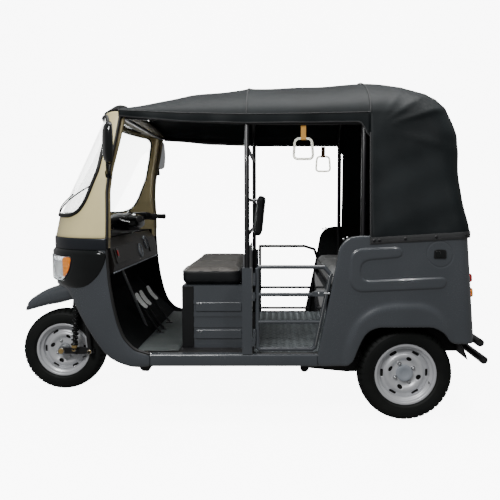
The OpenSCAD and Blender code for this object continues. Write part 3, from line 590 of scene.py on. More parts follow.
class Tree:
    """Adds nodes to one node tree and joins their sockets."""

    def __init__(self, tree: bpy.types.NodeTree) -> None:
        """Keeps the tree."""
        self.tree = tree

    def node(self, kind: str, inputs: dict[str | int, object] | None = None,
             **settings: object) -> bpy.types.Node:
        """Adds a node.

        Args:
            kind: Blender's name of the node type.
            inputs: socket to a value, or to an output socket to join to it.
            settings: the node's own properties.

        Returns:
            The new node.
        """
        node = self.tree.nodes.new(kind)
        for key, value in settings.items():
            setattr(node, key, value)
        for key, value in (inputs or {}).items():
            if isinstance(value, bpy.types.NodeSocket):
                self.tree.links.new(value, node.inputs[key])
            else:
                node.inputs[key].default_value = value
        return node

    def maths(self, operation: str, a: object, b: object = 0.0, clamp: bool = False) -> bpy.types.NodeSocket:
        """Output of a Math node on two values or sockets."""
        return self.node("ShaderNodeMath", {0: a, 1: b}, operation=operation, use_clamp=clamp).outputs[0]

    def remap(self, value: object, lo: float, hi: float, out_lo: float = 0.0,
              out_hi: float = 1.0) -> bpy.types.NodeSocket:
        """Value carried smoothly from one range to another."""
        node = self.node("ShaderNodeMapRange", {
            "Value": value, "From Min": lo, "From Max": hi, "To Min": out_lo, "To Max": out_hi},
            interpolation_type="SMOOTHSTEP")
        return node.outputs["Result"]

    def blend(self, share: object, a: object, b: object) -> bpy.types.NodeSocket:
        """Two colours mixed by a share."""
        node = self.node("ShaderNodeMix", data_type="RGBA")
        for socket, value in zip((node.inputs[0], node.inputs[6], node.inputs[7]), (share, a, b)):
            if isinstance(value, bpy.types.NodeSocket):
                self.tree.links.new(value, socket)
            else:
                socket.default_value = value if isinstance(value, float) else (*value, 1.0)
        return node.outputs[2]


def new_group(name: str, inputs: dict[str, float], outputs: Sequence[str]) -> tuple[Tree, bpy.types.Node, bpy.types.Node]:
    """Starts a shader node group with float sockets.

    Args:
        name: name of the group.
        inputs: socket names with their usual values.
        outputs: socket names.

    Returns:
        The tree, its input node and its output node.
    """
    tree = bpy.data.node_groups.new(name, "ShaderNodeTree")
    for key, value in inputs.items():
        socket = tree.interface.new_socket(key, in_out="INPUT", socket_type="NodeSocketFloat")
        socket.default_value = value
    for key in outputs:
        tree.interface.new_socket(key, in_out="OUTPUT", socket_type="NodeSocketFloat")
    return Tree(tree), tree.nodes.new("NodeGroupInput"), tree.nodes.new("NodeGroupOutput")


def wander_group() -> bpy.types.NodeTree:
    """Slow cloudy change over a surface, and fine scuffs, both from 0 to 1."""
    t, get, put = new_group("wander", {"Scale": 4.0}, ["Cloud", "Scuff"])
    at = t.node("ShaderNodeTexCoord").outputs["Object"]
    cloud = t.node("ShaderNodeTexNoise", {"Vector": at, "Scale": get.outputs["Scale"], "Detail": 5.0})
    squeezed = t.node("ShaderNodeMapping", {"Vector": at, "Scale": (9.0, 2.0, 14.0)})
    scuff = t.node("ShaderNodeTexNoise", {
        "Vector": squeezed.outputs[0], "Scale": 22.0, "Detail": 8.0, "Roughness": 0.75})
    t.tree.links.new(t.remap(cloud.outputs[0], 0.3, 0.7), put.inputs["Cloud"])
    t.tree.links.new(t.remap(scuff.outputs[0], 0.56, 0.76), put.inputs["Scuff"])
    return t.tree


def dust_group() -> bpy.types.NodeTree:
    """Road dust that is thickest near the ground and lies in patches."""
    t, get, put = new_group("road_dust", {"Top": 0.6}, ["Mask"])
    at = t.node("ShaderNodeTexCoord").outputs["Object"]
    height = t.node("ShaderNodeSeparateXYZ", {0: at}).outputs["Z"]
    low = t.maths("SUBTRACT", 1.0, t.maths("DIVIDE", height, get.outputs["Top"]), clamp=True)
    noise = t.node("ShaderNodeTexNoise", {"Vector": at, "Scale": 7.0, "Detail": 7.0, "Roughness": 0.65})
    patch = t.remap(noise.outputs[0], 0.35, 0.75)
    t.tree.links.new(t.maths("MULTIPLY", low, patch), put.inputs["Mask"])
    return t.tree


def grain_group() -> bpy.types.NodeTree:
    """Pebbled hide: rounded cells with creases between, and a finer noise on them."""
    t, get, put = new_group("pebble_grain", {"Scale": 400.0}, ["Height"])
    at = t.node("ShaderNodeTexCoord").outputs["Object"]
    cell = t.node("ShaderNodeTexVoronoi", {"Vector": at, "Scale": get.outputs["Scale"]},
                  feature="SMOOTH_F1")
    fine = t.node("ShaderNodeTexNoise", {"Vector": at, "Scale": get.outputs["Scale"], "Detail": 3.0})
    both = t.maths("ADD", t.maths("MULTIPLY", cell.outputs["Distance"], -1.0),
                   t.maths("MULTIPLY", fine.outputs[0], 0.4))
    t.tree.links.new(both, put.inputs["Height"])
    return t.tree


def peel_group() -> bpy.types.NodeTree:
    """Faint waviness of sprayed paint."""
    t, get, put = new_group("orange_peel", {"Scale": 60.0}, ["Height"])
    at = t.node("ShaderNodeTexCoord").outputs["Object"]
    noise = t.node("ShaderNodeTexNoise", {"Vector": at, "Scale": get.outputs["Scale"], "Detail": 1.5})
    t.tree.links.new(noise.outputs[0], put.inputs["Height"])
    return t.tree


def weave_group() -> bpy.types.NodeTree:
    """Plain weave along the piece's own UVs: |sin u| and |sin v| in turn."""
    t, get, put = new_group("plain_weave", {"Threads": 700.0}, ["Height"])
    uv = t.node("ShaderNodeTexCoord").outputs["UV"]
    part = t.node("ShaderNodeSeparateXYZ", {0: uv})
    waves = [t.maths("SINE", t.maths("MULTIPLY", part.outputs[k],
                                     t.maths("MULTIPLY", get.outputs["Threads"], math.pi)))
             for k in ("X", "Y")]
    cross = t.maths("MULTIPLY", waves[0], waves[1])
    t.tree.links.new(cross, put.inputs["Height"])
    return t.tree


def brush_group() -> bpy.types.NodeTree:
    """Fine lines of drawn or brushed metal along the vehicle's length."""
    t, get, put = new_group("drawn_lines", {"Scale": 80.0}, ["Height"])
    at = t.node("ShaderNodeTexCoord").outputs["Object"]
    long = t.node("ShaderNodeMapping", {"Vector": at, "Scale": (0.06, 1.0, 1.0)})
    noise = t.node("ShaderNodeTexNoise", {
        "Vector": long.outputs[0], "Scale": get.outputs["Scale"], "Detail": 6.0})
    t.tree.links.new(noise.outputs[0], put.inputs["Height"])
    return t.tree


class Grain(Enum):
    """Fine relief that a finish may carry."""

    PEEL = "orange_peel"
    HIDE = "pebble_grain"
    WEAVE = "plain_weave"
    DRAWN = "drawn_lines"


GROUP_MAKERS = {
    "wander": wander_group, "road_dust": dust_group, Grain.HIDE.value: grain_group,
    Grain.PEEL.value: peel_group, Grain.WEAVE.value: weave_group, Grain.DRAWN.value: brush_group}


def effect(name: str) -> bpy.types.NodeTree:
    """The shader group of that name, made at its first use."""
    return bpy.data.node_groups.get(name) or GROUP_MAKERS[name]()


@dataclass(frozen=True)
class Finish:
    """One opaque finish: its colour, gloss, relief, dust and how far they wander."""

    name: str
    colour: Colour
    roughness: float = 0.4
    metallic: float = 0.0
    coat: float = 0.0
    coat_roughness: float = 0.05
    grain: Grain = Grain.PEEL
    grain_scale: float = 60.0
    grain_depth: float = 0.0002
    dust: float = 0.06
    dust_top: float = 0.6
    vary: float = 0.12
    scuff: float = 0.1
    sheen: float = 0.0
    specular: float = 0.5

    def material(self) -> Material:
        """The material of this finish, made at its first use."""
        found = bpy.data.materials.get(self.name)
        if found:
            return found
        made = bpy.data.materials.new(self.name)
        made.use_nodes = True
        t = Tree(made.node_tree)
        shader = made.node_tree.nodes["Principled BSDF"]
        wander = t.node("ShaderNodeGroup", node_tree=effect("wander"))
        dust = t.node("ShaderNodeGroup", {}, node_tree=effect("road_dust"))
        dust.inputs["Top"].default_value = self.dust_top
        base = np.array(self.colour)
        dark, light = base * (1 - self.vary), np.minimum(1.0, base * (1 + self.vary) + 0.003)
        colour = t.blend(wander.outputs["Cloud"], tuple(dark), tuple(light))
        worn = tuple(np.minimum(1.0, base * 1.5 + 0.04))
        colour = t.blend(t.maths("MULTIPLY", wander.outputs["Scuff"], self.scuff), colour, worn)
        dusty = t.maths("MULTIPLY", dust.outputs["Mask"], self.dust)
        colour = t.blend(dusty, colour, (0.20, 0.18, 0.15))
        t.tree.links.new(colour, shader.inputs["Base Color"])
        rough = t.maths("ADD", t.maths("MULTIPLY", wander.outputs["Cloud"], 0.03), self.roughness - 0.015)
        rough = t.maths("ADD", rough, t.maths("MULTIPLY", wander.outputs["Scuff"], 0.12))
        rough = t.maths("ADD", rough, t.maths("MULTIPLY", dusty, 0.5), clamp=True)
        t.tree.links.new(rough, shader.inputs["Roughness"])
        relief = t.node("ShaderNodeGroup", node_tree=effect(self.grain.value))
        relief.inputs[0].default_value = self.grain_scale
        bump = t.node("ShaderNodeBump", {
            "Height": relief.outputs["Height"], "Distance": self.grain_depth, "Strength": 0.6})
        t.tree.links.new(bump.outputs[0], shader.inputs["Normal"])
        shader.inputs["Metallic"].default_value = self.metallic
        shader.inputs["Coat Weight"].default_value = self.coat
        shader.inputs["Coat Roughness"].default_value = self.coat_roughness
        shader.inputs["Sheen Weight"].default_value = self.sheen
        shader.inputs["Specular IOR Level"].default_value = self.specular
        return made


@dataclass(frozen=True)
class Glazing:
    """Clear or tinted glass and lens plastic."""

    name: str
    colour: Colour
    alpha: float = 0.35
    roughness: float = 0.03
    flutes: float = 0.0
    transmission: float = 1.0

    def material(self) -> Material:
        """The material of this glazing, made at its first use."""
        found = bpy.data.materials.get(self.name)
        if found:
            return found
        made = bpy.data.materials.new(self.name)
        made.use_nodes = True
        t = Tree(made.node_tree)
        shader = made.node_tree.nodes["Principled BSDF"]
        wander = t.node("ShaderNodeGroup", node_tree=effect("wander"))
        base = np.array(self.colour)
        colour = t.blend(wander.outputs["Cloud"], tuple(base * 0.95), tuple(np.minimum(1, base * 1.03)))
        t.tree.links.new(colour, shader.inputs["Base Color"])
        rough = t.maths("ADD", t.maths("MULTIPLY", wander.outputs["Scuff"], 0.05), self.roughness)
        t.tree.links.new(rough, shader.inputs["Roughness"])
        if self.flutes:
            at = t.node("ShaderNodeTexCoord").outputs["Object"]
            part = t.node("ShaderNodeSeparateXYZ", {0: at})
            wave = t.maths("SINE", t.maths("MULTIPLY", part.outputs["Y"], 2 * math.pi / self.flutes))
            band = t.maths("SINE", t.maths("MULTIPLY", part.outputs["Z"], math.pi / self.flutes))
            bump = t.node("ShaderNodeBump", {
                "Height": t.maths("ADD", wave, t.maths("MULTIPLY", band, 0.6)),
                "Distance": 0.0012, "Strength": 0.7})
            t.tree.links.new(bump.outputs[0], shader.inputs["Normal"])
        shader.inputs["Transmission Weight"].default_value = self.transmission
        shader.inputs["Alpha"].default_value = self.alpha
        shader.inputs["IOR"].default_value = 1.45
        return made


BODY = Finish("slate_body_paint", (0.046, 0.052, 0.060), 0.26, coat=1.0, coat_roughness=0.03,
              grain_scale=45.0, grain_depth=0.0002, dust=0.03, vary=0.025, scuff=0.01)
BAND = Finish("grey_band_paint", (0.009, 0.011, 0.015), 0.34, coat=0.3, vary=0.04, scuff=0.01, dust=0.01,
              specular=0.3)
BEIGE = Finish("beige_paint", (0.76, 0.66, 0.34), 0.32, coat=0.6, grain_depth=0.0002, dust=0.1,
               vary=0.05, scuff=0.05)
# Beige paint darkened for the inside of the cab: painted shade on the surround's lining, the inner pillars and the
# front uprights.
BEIGE_PAINTED_SHADE = Finish("beige_lining_painted_shade", (0.25, 0.205, 0.105), 0.5, coat=0.2, vary=0.12, scuff=0.08)
# Ceiling under the hood: the lining colour darkened further, painted shade.
CEILING_PAINTED_SHADE = Finish("ceiling_beige_painted_shade", (0.060, 0.050, 0.028), 0.7, vary=0.12, scuff=0.05, specular=0.2)
TUBE_BLACK = Finish("black_tube_paint", (0.006, 0.006, 0.007), 0.35, coat=0.3, vary=0.2, scuff=0.03, dust=0.02,
                    specular=0.35)
CHASSIS = Finish("chassis_black", (0.009, 0.009, 0.010), 0.55, vary=0.3, scuff=0.06, dust=0.15, specular=0.3)
GLOSS_BLACK = Finish("gloss_black_shell", (0.003, 0.004, 0.004), 0.12, coat=0.4, vary=0.05, scuff=0.01, dust=0.0,
                     specular=0.3)
PLASTIC = Finish("grained_black_plastic", (0.006, 0.0065, 0.007), 0.5, dust=0.02, scuff=0.03, specular=0.25, grain=Grain.HIDE,
                 grain_scale=900.0, grain_depth=0.0002, vary=0.15)
DECK = Finish("matt_black_deck", (0.0045, 0.0050, 0.0055), 0.8, dust=0.01, scuff=0.02, specular=0.08, vary=0.15)
FASCIA = Finish("moulded_fascia", (0.022, 0.0195, 0.0170), 0.42, coat=0.1, dust=0.01, scuff=0.03, specular=0.3, grain=Grain.HIDE,
                grain_scale=700.0, grain_depth=0.00015, vary=0.12)
RUBBER = Finish("tyre_tread_rubber", (0.005, 0.006, 0.0055), 0.62, grain_scale=220.0, grain_depth=0.0004,
                specular=0.2, dust=0.03, dust_top=0.55, vary=0.2, scuff=0.03)
SEAL = Finish("black_seal_rubber", (0.008, 0.008, 0.008), 0.5, grain_scale=300.0, vary=0.2)
MAT = Finish("ribbed_mat_rubber", (0.045, 0.054, 0.053), 0.55, grain_scale=300.0, dust=0.10, vary=0.2)
SILVER = Finish("wheel_silver_paint", (0.60, 0.61, 0.63), 0.34, metallic=0.30, coat=0.3, grain_scale=120.0,
                grain_depth=0.0001, dust=0.06, dust_top=0.5, vary=0.06, scuff=0.05)
CAP_GREY = Finish("hub_cap_grey", (0.34, 0.37, 0.41), 0.45, metallic=0.2, vary=0.06)
ZINC = Finish("gold_zinc", (0.62, 0.44, 0.18), 0.32, metallic=0.9, vary=0.2, scuff=0.2)
STEEL = Finish("bright_steel", (0.58, 0.59, 0.60), 0.25, metallic=1.0, grain=Grain.DRAWN, vary=0.1)
DULL_STEEL = Finish("dull_steel", (0.30, 0.31, 0.32), 0.45, metallic=0.8, grain=Grain.DRAWN, vary=0.15)
PLATE = Finish("tread_plate_grey", (0.20, 0.225, 0.235), 0.34, metallic=0.4, grain=Grain.DRAWN, vary=0.15,
               dust=0.2)
CAST = Finish("cast_metal", (0.10, 0.10, 0.105), 0.6, metallic=0.5, grain=Grain.HIDE, grain_scale=260.0,
              grain_depth=0.0006, dust=0.5, vary=0.2)
HOOD_CLOTH = Finish("hood_cloth", (0.0065, 0.0090, 0.0100), 0.52, specular=0.18, grain=Grain.HIDE, grain_scale=520.0,
                    grain_depth=0.0005, dust=0.015, vary=0.22, scuff=0.02, sheen=0.01)
HOOD_LINING = Finish("hood_lining", (0.010, 0.011, 0.012), 0.75, grain=Grain.WEAVE, grain_scale=600.0,
                     grain_depth=0.0004, vary=0.2, sheen=0.2)
WEBBING = Finish("hem_webbing", (0.011, 0.012, 0.013), 0.6, grain=Grain.WEAVE, grain_scale=450.0,
                 grain_depth=0.0006, vary=0.2, sheen=0.1)
SEAT_GREY = Finish("grey_seat_hide", (0.235, 0.240, 0.238), 0.46, grain=Grain.HIDE, grain_scale=420.0,
                   grain_depth=0.0006, vary=0.1, scuff=0.06, sheen=0.05)
DRIVER_GREY = Finish("driver_seat_hide", (0.130, 0.122, 0.112), 0.40, grain=Grain.HIDE, grain_scale=420.0,
                     grain_depth=0.0006, vary=0.14, scuff=0.08)
SEAT_BLACK = Finish("black_seat_hide", (0.007, 0.008, 0.009), 0.42, dust=0.02, specular=0.3, grain=Grain.HIDE, grain_scale=420.0,
                    grain_depth=0.0006, vary=0.15, scuff=0.06)
GLASS = Glazing("screen_glazing", (0.93, 0.97, 0.96), 0.30, 0.02)
LENS = Glazing("lamp_lens", (0.95, 0.97, 0.98), 0.55, 0.04, flutes=0.012)
AMBER = Glazing("amber_lens_plastic", (0.95, 0.38, 0.03), 0.92, 0.12, flutes=0.009, transmission=0.35)
RED = Glazing("red_lens_plastic", (0.62, 0.015, 0.02), 0.95, 0.12, flutes=0.009, transmission=0.3)
RED_PLASTIC = Finish("red_plastic", (0.45, 0.012, 0.012), 0.35, coat=0.4, vary=0.1)
PEDAL = Finish("pale_pedal_rubber", (0.80, 0.82, 0.80), 0.5, grain=Grain.HIDE, grain_scale=600.0, vary=0.15)
STRAP_NEAR = Finish("orange_strap", (0.62, 0.30, 0.045), 0.62, grain=Grain.WEAVE, grain_scale=900.0,
                    grain_depth=0.0006, vary=0.15, sheen=0.2)
# The far strap is the near strap's orange darkened: painted shade.
STRAP_FAR_PAINTED_SHADE = Finish("orange_strap_painted_shade", (0.32, 0.13, 0.035), 0.62, grain=Grain.WEAVE, grain_scale=900.0,
                   grain_depth=0.0006, vary=0.15, sheen=0.2)
GRIP_CLEAR = Glazing("clear_grip_plastic", (0.80, 0.80, 0.72), 0.75, 0.18, transmission=0.5)
AMBER_BACK = Finish("amber_lens_body", (0.90, 0.30, 0.02), 0.35, coat=0.5, dust=0.0, scuff=0.0)
REFLECTOR = Finish("lamp_reflector", (0.80, 0.82, 0.84), 0.16, metallic=1.0, vary=0.05, scuff=0.0, dust=0.0)
# The near mirror's glass is a dark gloss instead of a mirror: painted shade in place of its reflection.
MIRROR_NEAR = Finish("shaded_mirror_glass", (0.03, 0.033, 0.036), 0.05, coat=0.6, vary=0.01, scuff=0.0, dust=0.0)
MIRROR = Finish("mirror_glass", (0.85, 0.87, 0.88), 0.03, metallic=1.0, vary=0.01, scuff=0.0, dust=0.0)


def finish_table() -> dict[str, Finish | Glazing]:
    """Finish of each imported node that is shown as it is."""
    return {
        "frame": CHASSIS, "floor": PLATE, "front_cowl": BODY, "cowl_band": BAND,
        "bulkhead": DECK, "screen_surround": BEIGE, "screen_seal": SEAL, "windscreen": GLASS,
        "header": GLOSS_BLACK, "lamp_pods": GLOSS_BLACK, "head_lenses": LENS,
        "indicators": AMBER, "fascia": FASCIA, "pedals": STEEL, "b_pillars": BODY,
        "partition": DULL_STEEL, "seat_box": BODY, "driver_cushion": SEAT_GREY,
        "driver_backrest": SEAT_BLACK, "engine": CAST, "roof_frame": TUBE_BLACK,
        "canopy": HOOD_CLOTH, "rear_body": BODY, "rear_lid": BODY, "bench_base": BODY,
        "bench_cushion": SEAT_GREY, "bench_backrest": SEAT_BLACK, "guard_rail": TUBE_BLACK,
        "hand_grips": STEEL, "mirrors": GLOSS_BLACK, "rear_bumper": TUBE_BLACK, "tail_lamps": RED,
        "rear_suspension": CHASSIS, "rear_axle": CAST, "handlebar": PLASTIC, "fork": TUBE_BLACK,
        "front_shocks": STEEL, "front_mudguard": BODY, "front_tyre": RUBBER, "front_rim": SILVER,
        "left_tyre": RUBBER, "left_rim": SILVER, "right_tyre": RUBBER, "right_rim": SILVER,
        "gate": BODY}


def dress_frame(frame: dict) -> None:
    """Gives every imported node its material."""
    table = finish_table()
    for name, obj in frame["nodes"].items():
        obj.data.materials.clear()
        obj.data.materials.append(table[name].material())
        LOG.info("node %s: %s", name, table[name].name)


# Wheels.

@dataclass
class Wheel:
    """Tubeless tyre with block tread on a pressed steel wheel."""

    name: str
    centre: tuple[float, float, float]
    face: float
    body: str
    hub: float = 0.042
    radius: float = 0.254
    width: float = 0.145
    seat: float = 0.158
    pitches: int = 46
    groove: float = 0.0048

    def tyre_shape(self) -> Shape:
        """Tyre wall and tread: a profile turned round the axle, cut by grooves.

        Radius = profile(a) - groove x tread(a) x pattern(angle, a). Lateral grooves stand
        on the two shoulders half a pitch apart, and three grooves run right round.
        """
        b, edge, tw = self.seat + 0.0004, self.width / 2 - 0.0203, self.width / 2
        mid = (b + self.radius) / 2
        half = [(self.radius, 0.0), (self.radius - 0.0008, 0.020), (self.radius - 0.003, 0.040),
                (self.radius - 0.009, 0.0545), (self.radius - 0.024, 0.0675), (mid, tw),
                (b + 0.018, tw - 0.004), (b + 0.008, edge + 0.002)]
        curve = smooth_curve(half, 10)
        wall = curve[curve[:, 1] >= 0.0585]
        wall = np.vstack([wall[wall[:, 0] > b + 0.006]])
        marks = np.array([0.0, 0.0022, 0.0030, 0.009, 0.0145, 0.0153, 0.0195, 0.0203, 0.027,
                          0.034, 0.041, 0.048, 0.0535, 0.0575])
        top = curve[: int(np.argmax(curve[:, 1] > 0.060)) + 1]
        crown = np.column_stack([np.interp(marks, top[:, 1], top[:, 0]), marks])
        right = np.vstack([crown, wall, [[b + 0.004, edge + 0.001], [b, edge - 0.002]]])
        left = (right * [1, -1])[::-1]
        profile = np.vstack([left[:-1], right])
        raised = 0.0011 * (ramp((profile[:, 0] - 0.176) / 0.002) * ramp((0.182 - profile[:, 0]) / 0.002)
                           + ramp((profile[:, 0] - 0.222) / 0.002) * ramp((0.227 - profile[:, 0]) / 0.002))
        part = np.array([0.0, 0.03, 0.22, 0.25, 0.5, 0.53, 0.72, 0.75])
        turn = ((np.arange(self.pitches)[:, None] + part) / self.pitches).ravel() * 2 * np.pi
        first = np.tile([0.0, 1.0, 1.0, 0.0, 0.0, 0.0, 0.0, 0.0], self.pitches)[:, None]
        second = np.roll(first, 4, axis=0)
        a, r = profile[None, :, 1], profile[None, :, 0]
        tread = ramp((r - (self.radius - 0.020)) / 0.004)
        shoulder = ramp((np.abs(a) - 0.0200) / 0.002)
        middle = ramp((0.0145 - np.abs(a)) / 0.001) * ramp((np.abs(a) - 0.003) / 0.002) * 0.6
        cross = (shoulder + middle) * np.where(a > 0, first, second)
        round_ = (1 - ramp((np.abs(np.abs(a) - 0.0174) - 0.0021) / 0.0008)
                  + (1 - ramp((np.abs(a) - 0.0022) / 0.0008)))
        cut = self.groove * tread * np.clip(cross + round_, 0, 1)
        rr = np.broadcast_to(r - cut, (len(turn), len(profile)))
        aa = np.broadcast_to(a + raised * np.sign(a), rr.shape)
        points = np.stack([rr * np.cos(turn)[:, None], aa, rr * np.sin(turn)[:, None]], -1)
        shape = grid(points + np.array(self.centre), wrap_u=True, wrap_v=True)
        return shape.turned()

    def barrel_shape(self) -> Shape:
        """Rim barrel seen from the disc's side: one curve of (radius, depth) turned."""
        curve = smooth_curve([
            (0.1660, 0.0535), (0.1668, 0.0572), (0.1630, 0.0588), (0.1540, 0.0572),
            (0.1508, 0.0500), (0.1500, 0.0420), (0.1465, 0.0375), (0.1375, 0.0325),
            (0.1342, 0.0260), (0.1338, 0.0080), (0.1338, -0.0250), (0.1460, -0.0385),
            (0.1500, -0.0450), (0.1508, -0.0520), (0.1540, -0.0572), (0.1630, -0.0588),
            (0.1668, -0.0572), (0.1660, -0.0535)], 5)
        return lathe(curve, self.centre, (0, self.face, 0), 96)

    def height(self, r: Array) -> Array:
        """Height of the disc over the wheel's middle plane at a radius."""
        curve = smooth_curve([
            (0.020, 0.0200), (0.060, 0.0200), (0.0695, 0.0222), (0.0800, 0.0290), (0.0885, 0.0322),
            (0.0960, 0.0322), (0.1030, 0.0295), (0.1100, 0.0225), (0.1160, 0.0190),
            (0.1250, 0.0175), (0.1345, 0.0130)], 6)
        return np.interp(r, curve[:, 0], curve[:, 1])

    def disc_shape(self) -> Shape:
        """Pressed disc: a flat ring of lattice points lifted by height(radius)."""
        holes = [ellipse(0, 0, self.hub, self.hub, 48)]
        for k in range(6):
            a = k * math.pi / 3
            slot = soft_corners([(-0.0068, -0.020), (0.0068, -0.020), (0.0068, 0.020),
                                 (-0.0068, 0.020)], 0.0055, 4) + [0.1215, 0.0]
            c, s = math.cos(a), math.sin(a)
            holes.append(slot @ np.array([[c, s], [-s, c]]))
        for k in range(4):
            a = k * math.pi / 2 + 0.30
            holes.append(ellipse(0.0795 * math.cos(a), 0.0795 * math.sin(a), 0.0105, 0.0155, 24, a + 0.3))
        sheet = trimmed(ellipse(0, 0, 0.1345, 0.1345, 120), holes, 0.0042, rings=(0.0009, 0.0022))

        def place(p: Array) -> Array:
            """Lifts (x, z) of the wheel's plane by the height less the rolled rim."""
            r = np.linalg.norm(p, axis=1)
            lift = self.height(r) - np.where(r < 0.131, rolled(sheet.edge, 0.0026), 0.0)
            return np.column_stack([p[:, 0], self.face * lift, p[:, 1]]) + np.array(self.centre)

        shape = sheet.shape(place)
        return shape.turned() if self.face > 0 else shape

    def nut_shapes(self) -> list[Shape]:
        """Four hexagon nuts with domed stud ends, between the oval holes."""
        out = []
        y = self.centre[1]
        for k in range(4):
            a = math.pi / 4 + k * math.pi / 2 + 0.30
            x = self.centre[0] + 0.055 * math.cos(a)
            z = self.centre[2] + 0.055 * math.sin(a)
            at = (x, y + self.face * 0.0195, z)
            dome = [(0.0125, 0.0), (0.0120, 0.0014), (0.0088, 0.0016), (0.0085, 0.0095), (0.0068, 0.0115),
                    (0.0045, 0.0118), (0.0040, 0.0150), (0.0022, 0.0162), (0.0001, 0.0165)]
            out.append(lathe(dome, at, (0, self.face, 0), 12))
        return out

    def build(self) -> None:
        """Makes tyre, wheel, cap and valve."""
        silver, rubber = SILVER.material(), RUBBER.material()
        make(f"{self.name}_tyre_tread", [(self.tyre_shape(), rubber)], self.body,
             replaces=[f"{self.name}_tyre"], sharp=50)
        make(f"{self.name}_wheel_barrel", [(self.barrel_shape(), silver)], self.body,
             replaces=[f"{self.name}_rim"], thick=0.003, sharp=60)
        make(f"{self.name}_wheel_disc", [(self.disc_shape(), silver)], self.body,
             thick=0.0035, sharp=50)
        make(f"{self.name}_wheel_nuts", [(s, STEEL.material()) for s in self.nut_shapes()], self.body,
             shell=True)
        y = self.centre[1]
        at = (self.centre[0], y, self.centre[2])
        axis = (0, self.face, 0)
        if self.hub > 0.035:
            cap = [(0.0435, 0.0150), (0.0435, 0.0330), (0.0425, 0.0352), (0.0395, 0.0362),
                   (0.0250, 0.0356), (0.0235, 0.0348), (0.0001, 0.0346)]
            make(f"{self.name}_hub_cap", [(lathe(cap, at, axis, 64), CAP_GREY.material())],
                 self.body, shell=True)
        else:
            hub = [(0.0103, -0.069), (0.0250, -0.070), (0.0285, -0.066), (0.0290, -0.052),
                   (0.0330, -0.040), (0.0335, -0.010), (0.0400, 0.004), (0.0400, 0.014),
                   (0.0335, 0.022), (0.0330, 0.040), (0.0290, 0.052), (0.0285, 0.066),
                   (0.0250, 0.070), (0.0103, 0.069)]
            make(f"{self.name}_hub", [(lathe(hub, at, (0, 1, 0), 64, closed=True), DULL_STEEL.material())],
                 self.body, shell=True)
        drum = [(0.0300, -0.052), (0.1080, -0.050), (0.1180, -0.044), (0.1190, -0.030), (0.1280, -0.028),
                (0.1295, -0.020), (0.1295, 0.004), (0.1240, 0.009), (0.0300, 0.010)]
        # A thin black ring just inside the barrel: painted shade standing for the dark where the barrel's inner
        # flange slopes, not a real seal.
        turn = np.linspace(0, 2 * np.pi, 120, endpoint=False)
        line = np.column_stack([0.1352 * np.cos(turn), np.full(120, self.face * 0.0165), 0.1352 * np.sin(turn)])
        make(f"{self.name}_brake_drum_and_shade_ring", [
            (lathe(drum, at, axis, 64, closed=True), CHASSIS.material()),
            (tube(line + np.array(self.centre), 0.0016, 8, closed=True, up=(0, 1, 0)), SEAL.material())],
             self.body)
        a = math.radians(200.0)
        root = np.array([0.1385 * math.cos(a), 0.0, 0.1385 * math.sin(a)])
        out = np.array([0.0, self.face, 0.0])
        stem = [root + out * 0.034, root + out * 0.045, root * 0.97 + out * 0.058, root * 0.95 + out * 0.066]
        valve = tube(rounded_path(np.array(stem) + np.array(self.centre), 0.008),
                     0.0034, 10)
        make(f"{self.name}_valve", [(valve, SEAL.material())], self.body, shell=True)


# Rear end.

def wall_x(z: Array | float) -> Array | float:
    """x of the back wall at a height: it leans forward by 4.57 degrees above z 0.475."""
    return REAR_AXLE - 0.357 + (np.asarray(z) - 0.475) * math.tan(math.radians(4.57))


